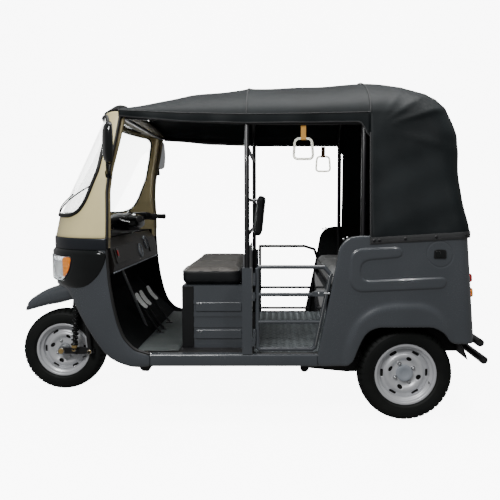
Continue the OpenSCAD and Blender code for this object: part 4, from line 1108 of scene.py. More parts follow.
@dataclass
class RearShell:
    """Pressed rear body: two side panels that turn round the corners into the back wall."""

    corner: float = 0.060
    flare: float = 0.014
    rib: float = 0.0065
    step: float = 0.012
    roll: float = 0.0085
    flap: tuple[float, float] = (-0.157, 0.906)

    def unrolled(self, side: Sequence[Sequence[float]]) -> Array:
        """Side view (x from the rear axle, z) as (distance from the back's middle, z)."""
        p = np.asarray(side, float)
        flat = HALF_WIDTH - self.corner + self.corner * math.pi / 2
        return np.column_stack([p[:, 0] + REAR_AXLE - wall_x(p[:, 1]) - self.corner + flat, p[:, 1]])

    def outline(self) -> Array:
        """Half of the body from the middle of the back wall, with the lid's opening left out."""
        side = rounded_path([
            (-0.400, 0.428), (-0.247, 0.430), (-0.215, 0.447), (-0.194, 0.484), (-0.136, 0.521),
            (0.162, 0.521), (0.218, 0.496), (0.250, 0.441), (0.291, 0.336), (0.322, 0.314),
            (0.478, 0.310), (0.478, 0.376), (0.437, 0.571), (0.407, 0.720), (0.380, 0.863),
            (0.366, 0.945), (0.322, 0.993), (0.262, 1.003), (0.0, 1.003)], 0.045)
        line = self.unrolled(side)
        line = line[line[:, 0] > 0.62]
        lid = rounded_path([(0.0, 0.899), (0.340, 0.899), (0.340, 0.490), (0.0, 0.490)], 0.018)
        return np.vstack([[(0.0, 0.428)], line, [(0.0, 1.003)], lid])

    def place(self, p: Array, out: Array | float) -> Array:
        """Lays (u, z) on the body's plan curve, moved outwards by out."""
        u, z = p[:, 0], p[:, 1]
        flat = HALF_WIDTH - self.corner
        t = np.clip((u - flat) / self.corner, 0.0, math.pi / 2)
        along = np.maximum(0.0, u - flat - self.corner * math.pi / 2)
        x = wall_x(z) + self.corner * (1 - np.cos(t)) + along - out * np.cos(t)
        y = np.minimum(u, flat) + self.corner * np.sin(t) + out * np.sin(t)
        return np.column_stack([x, y, z])

    def relief(self, p: Array, flap: bool) -> Array:
        """Height of the pressings: flare, C-shaped rib, flap groove and a faint crown.

        Args:
            p: points (u, z).
            flap: True on the side that has the filler flap.

        Returns:
            The height over the plain panel.
        """
        outer = self.unrolled(rounded_path([
            (0.352, 0.318), (0.340, 0.441), (0.285, 0.568), (0.200, 0.634), (0.100, 0.660),
            (-0.080, 0.660), (-0.160, 0.622), (-0.222, 0.546), (-0.246, 0.441), (-0.246, 0.40)], 0.05))
        area = np.vstack([outer, self.unrolled([(-0.20, 0.30), (0.30, 0.30)])])
        d = edge_distance(p, outer, closed=False) * inside(p, area)
        height = self.flare * ramp(d / 0.040)
        rib = soft_corners(self.unrolled([
            (0.314, 0.747), (0.306, 0.905), (0.270, 0.936), (0.043, 0.944), (0.036, 0.890),
            (0.225, 0.874), (0.252, 0.850), (0.256, 0.800), (0.236, 0.768), (-0.196, 0.787),
            (-0.192, 0.727), (0.270, 0.706)]), 0.035)
        height = height + self.rib * ramp((depth_in(p, rib) + 0.002) / 0.009)
        if flap:
            centre = self.unrolled([self.flap])[0]
            d = np.linalg.norm(p - centre, axis=1)
            height = height - 0.0022 * (1 - ramp((np.abs(d - 0.068) - 0.0012) / 0.0018))
        u0 = self.unrolled([(0.0, 0.75)])[0, 0]
        crown = 0.0035 * ramp((p[:, 0] - 0.70) / 0.2) * np.cos(np.clip((p[:, 1] - 0.80) / 0.3, -1, 1) * 1.2)
        return height + crown * ramp((u0 + 0.45 - p[:, 0]) / 0.2)

    def build(self) -> None:
        """Makes the painted shell, its dark lining, wheel houses, lid, flap lock and lamps."""
        rib = self.unrolled([(0.314, 0.747), (0.306, 0.905), (0.270, 0.936), (0.043, 0.944),
                             (0.036, 0.890), (0.225, 0.874), (0.252, 0.850), (0.256, 0.800),
                             (0.236, 0.768), (-0.196, 0.787), (-0.192, 0.727), (0.270, 0.706)])
        sheet = trimmed(self.outline(), (), self.step, rings=(0.0012, 0.0035, 0.0075),
                        creases=[soft_corners(rib, 0.035), ellipse(*self.unrolled([self.flap])[0], 0.068, 0.068, 60)],
                        open_edge=lambda q: q[:, 0] < 1e-6)
        drop = rolled(sheet.edge, self.roll)
        p = sheet.points
        left = sheet.shape(lambda q: self.place(q, self.relief(q, True) - drop))
        right = sheet.shape(lambda q: self.place(q, self.relief(q, False) - drop)).mirrored()
        lining = sheet.shape(lambda q: self.place(q, -0.012 + 0.0 * drop))
        if self.looks_in(left):
            left, right, lining = left.turned(), right.turned(), lining.turned()
        make("rear_shell_panels", [(left, BODY.material()), (right, BODY.material())], "vehicle",
             replaces=["rear_body"], thick=0.0035, sharp=60)
        inner = Shape.join([lining.turned(), lining.mirrored().turned()])
        make("rear_shell_lining", [(inner, PLASTIC.material())], "vehicle",
             thick=0.002, sharp=60)
        self.wheel_houses()
        self.flap_lock()
        self.lamps()
        self.lid()
        LOG.info("rear shell: %d lattice points", len(p))

    @staticmethod
    def looks_in(shape: Shape) -> bool:
        """True where the first side panel's faces look at the vehicle's middle."""
        f = shape.faces[0]
        a, b, c = (shape.verts[f[:, k]] for k in range(3))
        n = np.cross(b - a, c - a).sum(0)
        return bool(n[1] - n[0] < 0)

    def wheel_houses(self) -> None:
        """Arched sheet over each rear tyre with an inner wall: (r cos a, y, r sin a)."""
        a = np.radians(np.linspace(16, 164, 48))
        y = np.linspace(0.452, 0.643, 6)
        aa, yy = np.meshgrid(a, y, indexing="ij")
        arch = np.stack([REAR_AXLE + 0.328 * np.cos(aa), yy, AXLE_Z + 0.328 * np.sin(aa)], -1)
        r = np.linspace(0.0, 1.0, 8)
        rim = np.column_stack([REAR_AXLE + 0.328 * np.cos(a), AXLE_Z + 0.328 * np.sin(a)])
        foot = np.column_stack([rim[:, 0], np.full(len(a), AXLE_Z + 0.091)])
        wall = foot[:, None] * (1 - r[None, :, None]) + rim[:, None] * r[None, :, None]
        wall = np.stack([wall[..., 0], np.full(wall.shape[:2], 0.452), wall[..., 1]], -1)
        one = Shape.join([grid(arch), grid(wall)])
        make("wheel_houses", [(one, CHASSIS.material()), (one.mirrored(), CHASSIS.material())],
             "vehicle", thick=0.003)

    def flap_lock(self) -> None:
        """Black recessed lock plate in the middle of the filler flap, with its key slot."""
        centre = self.unrolled([self.flap])
        at = self.place(centre, 0.0020)[0]
        frame = soft_corners([(-0.033, -0.023), (0.033, -0.023), (0.031, 0.021), (0.014, 0.025),
                              (-0.014, 0.025), (-0.031, 0.021)], 0.008, 4)
        plate = prism(frame, at, (1, 0, 0), (0, 0, 1), -0.004)
        well = prism(frame * 0.62, at + [0, 0.0042, 0], (1, 0, 0), (0, 0, 1), -0.0025)
        key = prism(soft_corners(np.array([(-0.002, -0.008), (0.002, -0.008), (0.002, 0.008),
                                           (-0.002, 0.008)]), 0.001, 3), at + [0, 0.0066, 0],
                    (1, 0, 0), (0, 0, 1), -0.0015)
        make("flap_lock", [(plate, PLASTIC.material()), (well, GLOSS_BLACK.material()),
                           (key, TUBE_BLACK.material())], "vehicle", shell=True,
             bevel=0.0008)

    def lamps(self) -> None:
        """Tail lamps: bulged fluted lenses in black bezels, on the leaning back wall."""
        lean = math.radians(4.57)
        up = np.array([math.sin(lean), 0.0, math.cos(lean)])
        back = np.array([-math.cos(lean), 0.0, math.sin(lean)])
        lens: list[tuple[Shape, Material]] = []
        rims: list[tuple[Shape, Material]] = []
        for z0, z1, finish in ((0.272, 0.322, RED), (0.190, 0.246, AMBER)):
            for sign in (1.0, -1.0):
                middle = np.array([REAR_AXLE - 0.357, sign * 0.5425, 0.475]) + up * (z0 + z1) / 2
                u = np.linspace(-1, 1, 17)
                uu, vv = np.meshgrid(u, u, indexing="ij")
                squeeze = np.sqrt(1 - 0.42 * vv ** 2), np.sqrt(1 - 0.42 * uu ** 2)
                y = uu * squeeze[0] * 0.0425 * 1.02
                h = vv * squeeze[1] * (z1 - z0) / 2 * 1.02
                bulge = 0.0200 * np.clip(1 - np.maximum(np.abs(uu), np.abs(vv)) ** 4, 0, 1) ** 0.5
                face = middle + back * 0.001 + y[..., None] * np.array([0, 1, 0]) + h[..., None] * up \
                    + bulge[..., None] * back
                lens.append((grid(face), finish.material()))
                ring = face[[0] * 17, range(17)], face[range(17), [16] * 17], \
                    face[[16] * 17, range(16, -1, -1)], face[range(16, -1, -1), [0] * 17]
                loop = np.vstack([r[:-1] for r in ring])
                rims.append((tube(loop, 0.0035, 8, closed=True), GLOSS_BLACK.material()))
        make("tail_lamp_lenses", lens, "vehicle", replaces=["tail_lamps"], thick=0.002)
        make("tail_lamp_rims", rims, "vehicle")

    def lid(self) -> None:
        """Pressed lid with a raised field, hinge knuckles and a lifting handle."""
        lean = math.radians(4.57)
        up = np.array([math.sin(lean), 0.0, math.cos(lean)])
        back = np.array([-math.cos(lean), 0.0, math.sin(lean)])
        origin = np.array([REAR_AXLE - 0.357, 0.0, 0.475])
        border = soft_corners([(-0.334, 0.021), (0.334, 0.021), (0.334, 0.419), (-0.334, 0.419)], 0.022)
        field_ = soft_corners([(-0.275, 0.085), (0.275, 0.085), (0.275, 0.365), (-0.275, 0.365)], 0.04)
        sheet = trimmed(border, (), 0.014, rings=(0.0012, 0.0035, 0.0075), creases=[field_])
        lift = 0.006 * ramp((depth_in(sheet.points, field_) + 0.002) / 0.010) - rolled(sheet.edge, 0.008)
        panel = sheet.shape(lambda q: origin + q[:, :1] * np.array([0, 1.0, 0]) + q[:, 1:] * up
                            + (lift - 0.0005)[:, None] * back)
        f = panel.faces[0]
        n = np.cross(panel.verts[f[:, 1]] - panel.verts[f[:, 0]], panel.verts[f[:, 2]] - panel.verts[f[:, 0]])
        panel = panel if (n @ back).sum() > 0 else panel.turned()
        parts: list[tuple[Shape, Material]] = []
        for y in (-0.22, 0.22):
            pin = origin + up * 0.432 + back * 0.008
            parts.append((lathe([(0.0034, -0.02), (0.0066, -0.02), (0.0066, 0.02), (0.0034, 0.02)],
                                pin + [0, y, 0], (0, 1, 0), 24, closed=True), BODY.material()))
            strap = prism(soft_corners([(-0.020, 0.398), (0.020, 0.398), (0.017, 0.428), (-0.017, 0.428)], 0.005),
                          origin + back * 0.005 + [0, y, 0], (0, 1, 0), up, 0.004)
            parts.append((strap, BODY.material()))
        grip = origin + back * 0.004
        handle = rounded_path([grip + up * 0.070 + [0, -0.045, 0], grip + up * 0.070 + back * 0.010 + [0, -0.040, 0],
                               grip + up * 0.070 + back * 0.010 + [0, 0.040, 0],
                               grip + up * 0.070 + [0, 0.045, 0]], 0.010)
        parts.append((tube(handle, 0.004, 12, up=up), STEEL.material()))
        make("rear_lid_panel", [(panel, BODY.material())], "rear_lid",
             replaces=["rear_lid"], thick=0.0035, sharp=60)
        make("rear_lid_fittings", parts, "rear_lid", shell=True, bevel=0.0008)


# Hood.

@dataclass
class Hood:
    """Soft hood of coated cloth, stretched over two bows and drawn round the back."""

    thick: float = 0.003
    sag: float = 0.010
    roof_rows: tuple[tuple[float, float, float, float, float], ...] = (
        (POST_X, 0.605, 1.590, 1.640, 1.885), (POST_X + 0.330, 0.612, 1.586, 1.632, 1.868),
        (PILLAR_X, 0.612, 1.583, 1.628, 1.853), (PILLAR_X + 0.330, 0.600, 1.592, 1.636, 1.801),
        (FRONT_AXLE - 0.508, 0.572, 1.625, 1.655, 1.712))
    back_rows: tuple[tuple[float, float, float, float], ...] = (
        (0.955, 0.529, 0.6553, 0.0653), (1.006, 0.526, 0.6553, 0.0653), (1.080, 0.520, 0.648, 0.080),
        (1.281, 0.500, 0.630, 0.110), (1.529, 0.487, 0.612, 0.150), (1.640, 0.452, 0.605, 0.190),
        (1.735, 0.410, 0.545, 0.210), (1.795, 0.330, 0.442, 0.210), (1.840, 0.220, 0.318, 0.170),
        (1.867, 0.130, 0.205, 0.110), (1.881, 0.070, 0.100, 0.060), (1.885, 0.0, 0.0, 0.0))

    def row_at(self, x: Array) -> Array:
        """Half width, valance, crease and crown heights at x, with a sag between the bows."""
        rows = np.array(self.roof_rows)
        out = np.stack([np.interp(x, rows[:, 0], rows[:, k]) for k in range(1, 5)], -1)
        span = np.clip((x - POST_X) / (PILLAR_X - POST_X), 0, 1)
        front = np.clip((x - PILLAR_X) / (rows[-1, 0] - PILLAR_X), 0, 1)
        out[:, 3] -= self.sag * np.sin(np.pi * span) * 0.8
        out[:, 3] += 0.012 * np.sin(np.pi * front) ** 2 - 0.004 * np.sin(np.pi * front)
        return out

    def section(self, row: Array, steps: int = 40) -> Array:
        """Half of the roof's cross-section from the crease to the crown, as (y, z).

        y = b cos(a)^(2/1.8) and z = crease + (crown - crease) sin(a)^(2/1.8).
        """
        a = np.linspace(0, np.pi / 2, steps) ** 1.0
        y = row[..., 0:1] * np.cos(a) ** (2 / 1.8)
        z = row[..., 2:3] + (row[..., 3:4] - row[..., 2:3]) * np.sin(a) ** (2 / 1.8)
        y[..., -1] = 0.0
        return np.stack([y, z], -1)

    def ripple(self, x: Array, y: Array, z: Array) -> Array:
        """Soft unevenness of the cloth: a few slanting sine waves of 1 to 3 mm."""
        return (0.0016 * np.sin(9.1 * x + 4.0 * z + 1.3 * y) * np.sin(5.3 * z + 2.0 * x + 0.7)
                + 0.0010 * np.sin(21.0 * x - 13.0 * z + 5.0 * y)
                + 0.0007 * np.sin(37.0 * z + 15.0 * x + 9.0 * y))

    def roof_shape(self) -> Shape:
        """Roof and valance: rows along x, columns from the left hem over the crown to the right."""
        x = np.unique(np.concatenate([np.linspace(POST_X, PILLAR_X, 41),
                                      np.linspace(PILLAR_X, self.roof_rows[-1][0], 41),
                                      PILLAR_X + np.array([-0.006, 0.006])]))
        row = self.row_at(x)
        arc = self.section(row)
        drop = np.linspace(0, 1, 8)[:-1]
        zv = row[:, 1:2] + (row[:, 2:3] - row[:, 1:2]) * drop
        wave = 0.0045 * np.sin(x * 27.0) * np.sin(x * 7.0 + 1.0)
        yv = row[:, 0:1] - 0.006 * (1 - drop) ** 2 + wave[:, None] * (1 - drop)
        corner = 1 - ramp((x - POST_X) / 0.075)
        zv = zv - (corner ** 2 * 0.075)[:, None] * (1 - drop) ** 1.5
        left = np.concatenate([np.stack([yv, zv], -1), arc], 1)
        full = np.concatenate([left, (left * [-1, 1])[:, -2::-1]], 1)
        points = np.stack([np.broadcast_to(x[:, None], full.shape[:2]), full[..., 0], full[..., 1]], -1)
        lift = self.ripple(points[..., 0], points[..., 1], points[..., 2]) * 1.2
        tent = np.exp(-((x - PILLAR_X) / 0.014) ** 2) * 0.0035
        up = np.clip((points[..., 2] - row[:, 2:3]) / 0.1, 0, 1)
        edge = ramp((x - POST_X) / 0.04)[:, None]
        points[..., 2] += (lift * edge + tent[:, None]) * up
        return grid(points)

    def back_shape(self) -> Shape:
        """Sides and back in one sheet: levels from the hem to the crown, each a rounded plan.

        At each level the plan runs straight from the rear bow, round a corner and across
        the back; ridges on the sides fan out from the top of the rear bow.
        """
        rows = np.array(self.back_rows)
        post = self.row_at(np.array([POST_X]))
        arc = self.section(post)[0]
        low = np.concatenate([np.linspace(0.955, 1.006, 5)[:-1], np.linspace(1.006, 1.590, 34)[:-1],
                              np.linspace(1.590, 1.640, 6)[:-1]])
        level = np.concatenate([low, arc[:, 1]])
        half = np.concatenate([np.interp(low, rows[:, 0], rows[:, 2]), arc[:, 0]])
        dist = np.interp(level, rows[:, 0], rows[:, 1])
        round_ = np.minimum(np.interp(level, rows[:, 0], rows[:, 3]), np.maximum(half - 0.0005, 0))
        s = np.linspace(0, 1, 23)
        t = np.linspace(0, np.pi / 2, 17)
        c = np.linspace(1, 0, 15)
        back = POST_X - dist
        x = np.concatenate([
            POST_X + (back + round_ - POST_X)[:, None] * s,
            back[:, None] + round_[:, None] * (1 - np.sin(t[1:])),
            np.broadcast_to(back[:, None], (len(level), len(c) - 1))], 1)
        y = np.concatenate([
            np.broadcast_to(half[:, None], (len(level), len(s))),
            (half - round_)[:, None] + round_[:, None] * np.cos(t[1:]),
            (half - round_)[:, None] * c[1:]], 1)
        z = np.broadcast_to(level[:, None], x.shape).copy()
        hem = 0.958 + (POST_X + 0.010 - x) * (0.035 / 0.570)
        share = np.clip((z - 0.955) / 0.145, 0, 1)
        z = np.where(z < 1.10, hem * (1 - share) + 1.10 * share, z)
        lift = self.ripple(x, y, z) * 1.6
        fan = np.arctan2(z - 1.56, POST_X - 0.03 - x)
        reach = np.hypot(z - 1.56, POST_X - 0.03 - x)
        for k, (angle, size) in enumerate(((0.30, 0.007), (0.62, 0.008), (0.98, 0.006), (-0.25, 0.003))):
            lift += size * np.exp(-((fan - angle) / 0.055) ** 2) * ramp(reach / 0.30) * ramp(
                (x - back[:, None]) / 0.05 + 0.4)
            lift -= 0.4 * size * np.exp(-((fan - angle - 0.16) / 0.10) ** 2) * ramp(reach / 0.35)
        sag = 0.008 * np.sin(np.clip((z - 1.08) / 0.45, 0, 1) * np.pi)
        fold = 0.0035 * np.sin(x * 34.0 + y * 22.0) * np.exp(-((z - hem) / 0.07) ** 2) * ramp((z - hem) / 0.03)
        keep = ramp((POST_X - x) / 0.05) * ramp((1.875 - z) / 0.04)
        lift = (lift - sag + fold) * keep
        nx, ny = self.outward(x, y)
        x, y = x + lift * nx, y + lift * ny
        left = np.stack([x, y, z], -1)
        full = np.concatenate([left, (left * [1, -1, 1])[:, -2::-1]], 1)
        return grid(full)

    @staticmethod
    def outward(x: Array, y: Array) -> tuple[Array, Array]:
        """Unit normal of each level's plan, pointing away from the cabin."""
        dx, dy = np.gradient(x, axis=1), np.gradient(y, axis=1)
        long = np.maximum(np.hypot(dx, dy), 1e-9)
        return dy / long, -dx / long

    def hem_line(self, lift: float, out: float) -> Array:
        """The bottom edge of sides and back, raised by lift and moved out."""
        shape = self.back_shape()
        count = 2 * (23 + 16 + 14) - 1
        line = shape.verts[:count].copy()
        nx, ny = self.outward(line[None, :, 0], line[None, :, 1])
        line[:, 0] += out * nx[0]
        line[:, 1] += out * ny[0]
        line[:, 2] += lift
        return line

    def strip(self, line: Array, height: float, out: float) -> Shape:
        """Upright band along a line, with a flat oval section 2 x out deep."""
        a = 2 * np.pi * np.arange(10) / 10
        nx, ny = self.outward(line[None, :, 0], line[None, :, 1])
        n = np.column_stack([nx[0], ny[0], np.zeros(len(line))])
        ring = line[:, None] + out * power(np.cos(a), 0.6)[None, :, None] * n[:, None] \
            + (height / 2) * power(np.sin(a), 0.5)[None, :, None] * np.array([0, 0, 1.0])
        shape = grid(ring, wrap_v=True)
        first = np.arange(10)[None, :]
        shape.faces += [first, (first + (len(line) - 1) * 10)[:, ::-1]]
        return shape

    def build(self) -> None:
        """Makes the cloth, its hem, seams and snaps."""
        cloth = HOOD_CLOTH.material()
        roof, back = self.roof_shape(), self.back_shape()
        both = [roof if self.looks_up(roof) else roof.turned(), back if self.looks_up(back) else back.turned()]
        piece = make("hood_cloth_sheet", [(s, cloth) for s in both], "vehicle",
                     replaces=["canopy"], thick=self.thick, sharp=75, weld=0.0006)
        web = WEBBING.material()
        band = self.strip(self.hem_line(0.017, 0.0012), 0.036, 0.0032)
        row = self.row_at(np.linspace(POST_X, self.roof_rows[-1][0], 60))
        x = np.linspace(POST_X, self.roof_rows[-1][0], 60)
        seam = np.column_stack([x, row[:, 0] + 0.001, row[:, 2] + 0.002])
        beads = [tube(seam, 0.0030, 8, up=(0, 1, 0)), tube(seam * [1, -1, 1], 0.0030, 8, up=(0, 1, 0))]
        valance = self.roof_shape().verts.reshape(-1, 93, 3)
        edge = valance[:, 0] + [0, 0.0, 0.004]
        trims = [tube(edge, 0.0042, 8, up=(0, 1, 0)), tube(edge * [1, -1, 1], 0.0042, 8, up=(0, 1, 0))]
        post = back.verts.reshape(-1, 105, 3)[:, 0] if len(back.verts) % 105 == 0 else None
        if post is not None:
            front = post[post[:, 2] < 1.55]
            trims += [tube(front, 0.0042, 8), tube(front * [1, -1, 1], 0.0042, 8)]
        across = self.section(self.row_at(np.array([PILLAR_X])))[0]
        for x0 in (PILLAR_X, POST_X):
            half = self.section(self.row_at(np.array([x0])))[0]
            line = np.vstack([half, (half * [-1, 1])[-2::-1]])
            arc = np.column_stack([np.full(len(line), x0), line[:, 0], line[:, 1] + 0.0035])
            beads.append(tube(arc, 0.0030, 8, up=(1, 0, 0)))
        LOG.info("hood: %d points across", len(across))
        make("hood_seams", [(s, web) for s in beads + trims], "vehicle", shell=True)
        make("hood_hem_band", [(band, web)], "vehicle", shell=True)
        self.snaps()

    def looks_up(self, shape: Shape) -> bool:
        """True where the cloth's faces look away from the cabin's middle."""
        f = shape.faces[0]
        v = shape.verts
        n = np.cross(v[f[:, 2]] - v[f[:, 0]], v[f[:, 3]] - v[f[:, 1]])
        middle = v[f].mean(1) - np.array([-0.3, 0.0, 1.2])
        return bool((n * middle).sum() > 0)

    def snaps(self) -> None:
        """Press studs along the hem: small domes that look outwards."""
        line = self.hem_line(0.017, 0.0040)
        long = np.concatenate([[0], np.cumsum(np.linalg.norm(np.diff(line, axis=0), axis=1))])
        nx, ny = self.outward(line[None, :, 0], line[None, :, 1])
        dome = [(0.0085, 0.0), (0.0085, 0.0012), (0.0070, 0.0030), (0.0040, 0.0040), (0.0001, 0.0043)]
        studs = []
        total = long[-1]
        for s in (0.018, 0.045, 0.18, 0.34, 0.50, 0.68, 0.90):
            for at in (s, total - s):
                p = [float(np.interp(at, long, line[:, k])) for k in range(3)]
                n = (float(np.interp(at, long, nx[0])), float(np.interp(at, long, ny[0])), 0.0)
                studs.append((lathe(dome, p, n, 14), TUBE_BLACK.material()))
        make("hood_snaps", studs, "vehicle", shell=True)


# Front end.

@dataclass
class Nose:
    """Plan curve of the nose and the pressed front that is laid on it."""

    power: float = 2.2
    length: float = NOSE_X - DOOR_X
    roll: float = 0.013
    pod_out: float = 0.022
    x: Array = field(init=False)
    y: Array = field(init=False)
    s: Array = field(init=False)

    def __post_init__(self) -> None:
        """Works out the plan: x = door + length cos(a)^(2/n), y = half sin(a)^(2/n)."""
        a = np.linspace(0, np.pi / 2, 400)
        x = DOOR_X + self.length * np.abs(np.cos(a)) ** (2 / self.power)
        y = HALF_WIDTH * np.abs(np.sin(a)) ** (2 / self.power)
        self.x = np.append(x, FRONT_AXLE - 0.75)
        self.y = np.append(y, HALF_WIDTH)
        long = np.hypot(np.diff(self.x), np.diff(self.y))
        self.s = np.concatenate([[0], np.cumsum(long)])

    def at_x(self, x: Array | float) -> Array | float:
        """Arc length from the nose's tip to where the plan has that x."""
        return np.interp(x, self.x[::-1], self.s[::-1])

    def at_y(self, y: Array | float) -> Array | float:
        """Arc length from the nose's tip to where the plan has that y."""
        return np.interp(y, self.y[:400], self.s[:400])

    def flat(self, side: Sequence[Sequence[float]]) -> Array:
        """Side view (x, z) as (arc length, z)."""
        p = np.asarray(side, float)
        return np.column_stack([self.at_x(p[:, 0]), p[:, 1]])

    def place(self, q: Array, out: Array | float) -> Array:
        """Lays (arc length, z) on the plan curve, moved outwards by out."""
        x, y = np.interp(q[:, 0], self.s, self.x), np.interp(q[:, 0], self.s, self.y)
        tx = np.interp(q[:, 0], self.s, np.gradient(self.x, self.s))
        ty = np.interp(q[:, 0], self.s, np.gradient(self.y, self.s))
        n = unit(np.column_stack([ty, -tx]))
        return np.column_stack([x + out * n[:, 0], y + out * n[:, 1], q[:, 1]])

    def cowl(self) -> None:
        """Leg shield and nose in one pressing, with its dark inner side and edge trim."""
        front = rounded_path(self.flat([(NOSE_X, 0.713), (0.894, 0.713), (0.780, 0.519), (0.658, 0.350),
                                        (0.533, 0.302), (0.437, 0.310)]), 0.07)
        rear = rounded_path(self.flat([(0.437, 0.376), (0.520, 0.400), (0.575, 0.460), (0.605, 0.540),
                                       (0.628, 0.640), (0.645, 0.750), (0.655, 0.900), (0.655, 0.930)]), 0.03)
        sheet = trimmed(np.vstack([front, rear, [(0.0, 0.930)]]), (), 0.014, rings=(0.0015, 0.0045, 0.0095),
                        open_edge=lambda q: (q[:, 0] < 1e-6) | (q[:, 1] > 0.9299))
        low = ramp((0.700 - sheet.points[:, 1]) / 0.30)
        swell = 0.004 * low * ramp(sheet.edge / 0.05)
        left = sheet.shape(lambda q: self.place(q, swell - rolled(sheet.edge, self.roll)))
        left = left if faces_along(left, (0.6, 0.8, 0.0)) else left.turned()
        inner = sheet.shape(lambda q: self.place(q, -0.010))
        inner = inner.turned() if faces_along(inner, (0.6, 0.8, 0.0)) else inner
        make("front_cowl_panel", [(left, BODY.material()), (left.mirrored(), BODY.material())], "vehicle",
             replaces=["front_cowl"], thick=0.003, sharp=60)
        make("front_cowl_lining", [(inner, PLASTIC.material()), (inner.mirrored(), PLASTIC.material())],
             "vehicle", thick=0.002, sharp=60)
        trim = tube(self.place(rear, -0.006), 0.0075, 10, up=(0, 1, 0))
        make("door_edge_trim", [(trim, SEAL.material()), (trim.mirrored(), SEAL.material())], "vehicle",
             shell=True)

    def band(self) -> None:
        """Grey band over the nose: a rounded strip swept along the plan."""
        s = np.linspace(0, self.at_x(DOOR_X), 90)
        section = np.array([(0.9262, -0.006), (0.9262, 0.0015), (0.9285, 0.0035), (0.9330, 0.0045),
                            (0.9800, 0.0045), (0.9850, 0.0035), (0.9880, 0.0005), (0.9880, -0.006)])
        lift = section[:, 1] * np.where(section[:, 1] > 0, 1.0, 1.0)
        rows = np.stack([self.place(np.column_stack([s, np.full(len(s), z)]), out)
                         for z, out in zip(section[:, 0], lift)], 1)
        left = grid(rows)
        left = left if faces_along(left, (0.6, 0.8, 0.0)) else left.turned()
        make("nose_band", [(left, BAND.material()), (left.mirrored(), BAND.material())], "vehicle",
             replaces=["cowl_band"], thick=0.002, sharp=50)

    def pods(self) -> None:
        """Gloss black lamp housings with lenses, bowls, bulbs and turn lamps."""
        y3 = self.at_y(0.300)
        outline = soft_corners(np.vstack([
            [(y3, 0.9255), (y3, 0.800), (y3 + 0.06, 0.764)],
            self.flat([(0.958, 0.737), (0.878, 0.722), (0.778, 0.727), (0.705, 0.785), (0.662, 0.862),
                       (0.658, 0.9255)])]), 0.055)
        lens = soft_corners([(self.at_y(0.335), 0.884), (self.at_y(0.602), 0.890), (self.at_y(0.590), 0.815),
                             (self.at_y(0.548), 0.752), (self.at_y(0.380), 0.757)], 0.030)
        turn = soft_corners([(self.at_y(0.553), 0.884), (self.at_y(0.598), 0.886), (self.at_y(0.586), 0.818),
                             (self.at_y(0.556), 0.772)], 0.016)
        sheet = trimmed(outline, [lens], 0.011, rings=(0.0015, 0.0040, 0.0085))
        deep = depth_in(sheet.points, outline)
        shelf = 0.0050 * np.exp(-((sheet.points[:, 1] - 0.908) / 0.009) ** 2) * ramp(deep / 0.02)
        out = 0.0005 + (self.pod_out - 0.004) * np.clip(deep / 0.045, 0, 1) ** 0.45 + shelf
        near = edge_distance(sheet.points, lens)
        out -= rolled(near, 0.006)
        black = sheet.shape(lambda q: self.place(q, out))
        clear = trimmed(lens, (), 0.008, rings=(0.0015, 0.004))
        bulge = 0.0010 + 0.0035 * ramp(clear.edge / 0.030)
        glass = clear.shape(lambda q: self.place(q, self.pod_out - 0.006 + bulge - rolled(clear.edge, 0.004)))
        bowl = clear.shape(lambda q: self.place(q, 0.013 - 0.024 * ramp(clear.edge / 0.045)))
        amber = trimmed(turn, (), 0.006, rings=(0.0012, 0.003))
        side = amber.shape(lambda q: self.place(q, self.pod_out + 0.0002 - rolled(amber.edge, 0.0035)))
        back = amber.shape(lambda q: self.place(q, self.pod_out - 0.0055))
        shapes = [s if faces_along(s, (0.6, 0.8, 0.0)) else s.turned() for s in (black, glass, bowl, side, back)]
        black, glass, bowl, side, back = shapes
        both = lambda s, f: [(s, f.material()), (s.mirrored(), f.material())]
        make("lamp_pod_shells", both(black, GLOSS_BLACK), "vehicle",
             replaces=["lamp_pods"], thick=0.0025, sharp=60)
        make("head_lamp_lenses", both(glass, LENS), "vehicle",
             replaces=["head_lenses"], thick=0.002)
        make("head_lamp_bowls", both(bowl, REFLECTOR), "vehicle", thick=0.001)
        make("turn_lamps", both(side, AMBER) + both(back, AMBER_BACK), "vehicle",
             replaces=["indicators"])
        loop = self.place(resampled(lens, 0.006), self.pod_out - 0.0035)
        rim = tube(loop, 0.0028, 8, closed=True)
        make("lens_rims", both(rim, SEAL), "vehicle")

    def build(self) -> None:
        """Makes every part of the nose."""
        self.cowl()
        self.band()
        self.pods()


def faces_along(shape: Shape, way: Sequence[float]) -> bool:
    """True where the first faces of a surface look, in sum, along a direction."""
    f = shape.faces[0]
    a, b, c = (shape.verts[f[:, k]] for k in (0, 1, 2))
    return bool(np.cross(b - a, c - a).sum(0) @ np.asarray(way, float) > 0)


